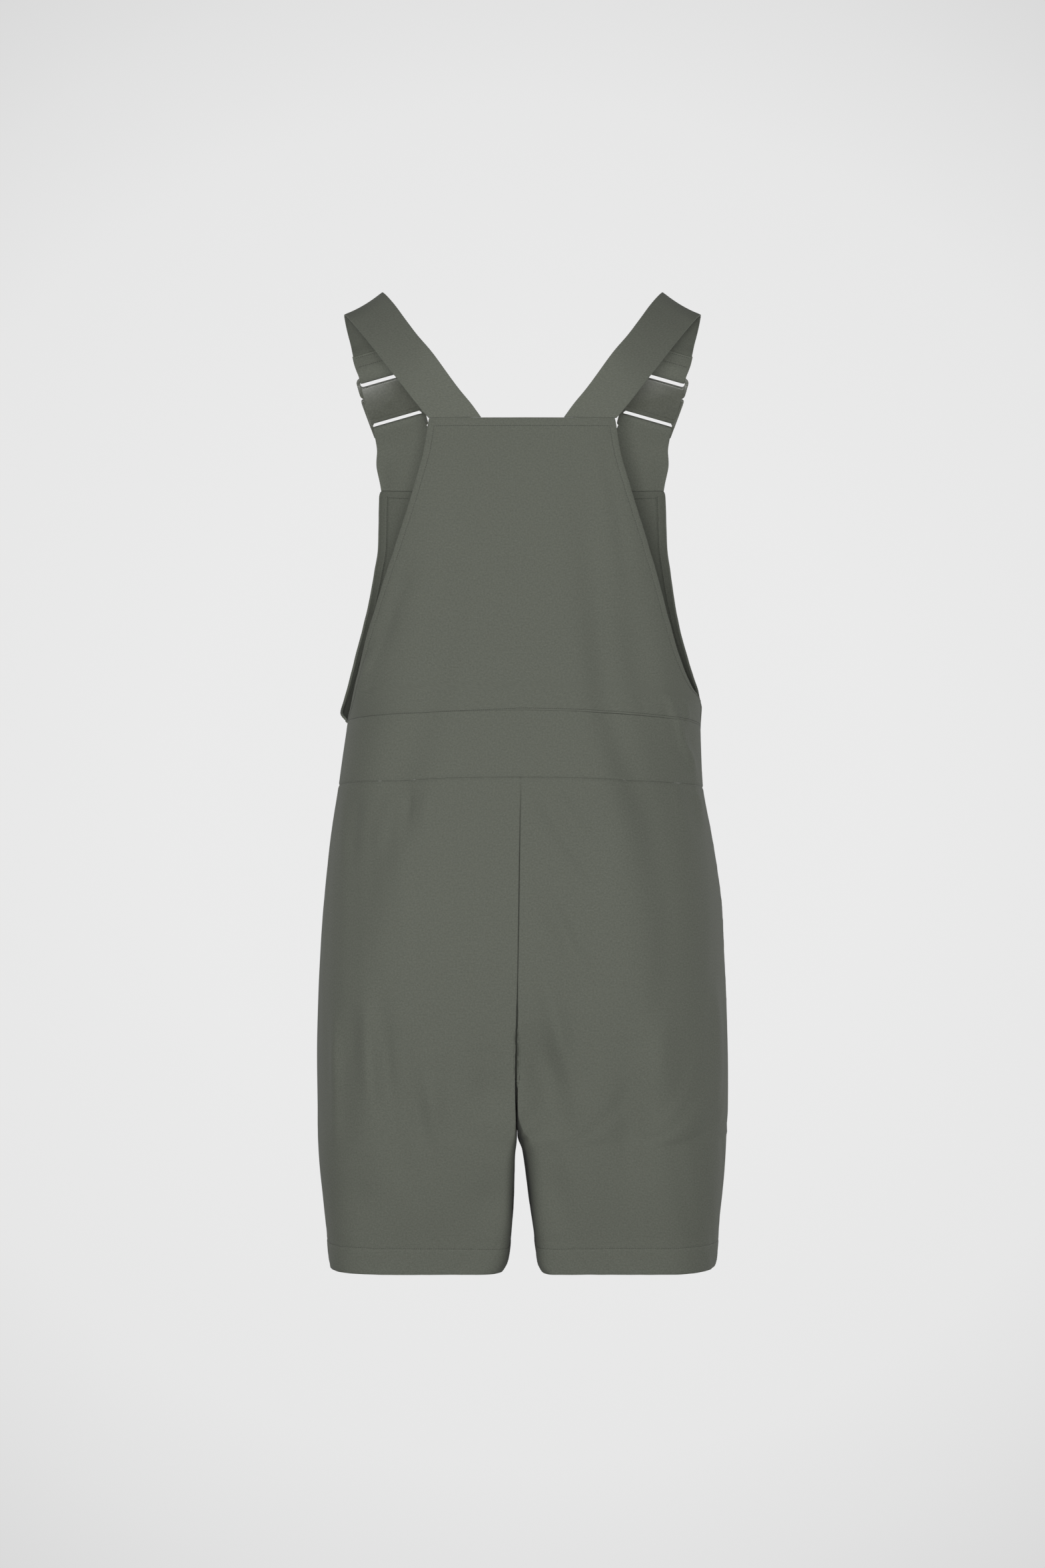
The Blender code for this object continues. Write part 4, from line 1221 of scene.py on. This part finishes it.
world = bpy.data.worlds.new("softRoom")
world.use_nodes = True
sky = world.node_tree
facing = addNode(sky, "ShaderNodeTexCoord", (-900, 0))
# a little more light from behind
weigh = addNode(sky, "ShaderNodeVectorMath", (-700, 0), operation="DOT_PRODUCT")
weigh.inputs[1].default_value = (0.0, 0.2, 0.0)
level = addNode(sky, "ShaderNodeMath", (-500, 0), operation="ADD")
level.inputs[1].default_value = 0.21
sky.links.new(facing.outputs["Generated"], weigh.inputs[0])
sky.links.new(weigh.outputs["Value"], level.inputs[0])
sky.links.new(level.outputs[0], sky.nodes["Background"].inputs["Strength"])
sky.nodes["Background"].inputs["Color"].default_value = (1, 1, 1, 1)
bpy.context.scene.world = world


def softLight(name, spot, aim, size, power):
    bpy.ops.object.light_add(type="AREA", location=spot)
    lamp = bpy.context.object
    lamp.name = name
    lamp.data.shape = "RECTANGLE"
    lamp.data.size, lamp.data.size_y = size
    lamp.data.energy = power
    away = Vector(aim) - Vector(spot)
    lamp.rotation_euler = away.to_track_quat("-Z", "Y").to_euler()


softLight("keySoftbox", (-1.3, -2.1, 0.15), (0, 0, -0.35), (1.0, 1.0), 11)
softLight("fillSoftbox", (-0.05, -3.6, -0.48), (0, 0, -0.45), (0.5, 0.5), 82)
softLight("rightSoftbox", (1.3, -2.1, 0.15), (0, 0, -0.35), (1.0, 1.0), 5)
softLight("rimSoftbox", (2.2, 1.2, -0.5), (0, 0, -0.5), (0.8, 1.6), 20)
softLight("leftRimSoftbox", (-2.2, 1.3, -0.5), (0, 0, -0.5), (0.8, 1.6), 6)
# the side away from the camera has its own soft light
softLight("farLeftSoftbox", (-2.6, 3.0, 0.2), (0, 0, -0.4), (1.2, 1.2), 34)
softLight("farRightSoftbox", (2.6, 3.0, 0.2), (0, 0, -0.4), (1.2, 1.2), 16)

eye = bpy.data.cameras.new("photoEye")
eye.sensor_fit = "VERTICAL"
eye.sensor_height = 36.0
eye.lens = 36.0 * 3.1 / (2352 * 0.00063)
eye.clip_start = 0.05
camera = bpy.data.objects.new("photoEye", eye)
camera.location = (0.0, -3.1, -0.4542)
camera.rotation_euler = (math.radians(90), 0, 0)
bpy.context.collection.objects.link(camera)
bpy.context.scene.camera = camera
bpy.context.scene.view_settings.view_transform = "Standard"
print("studio set")
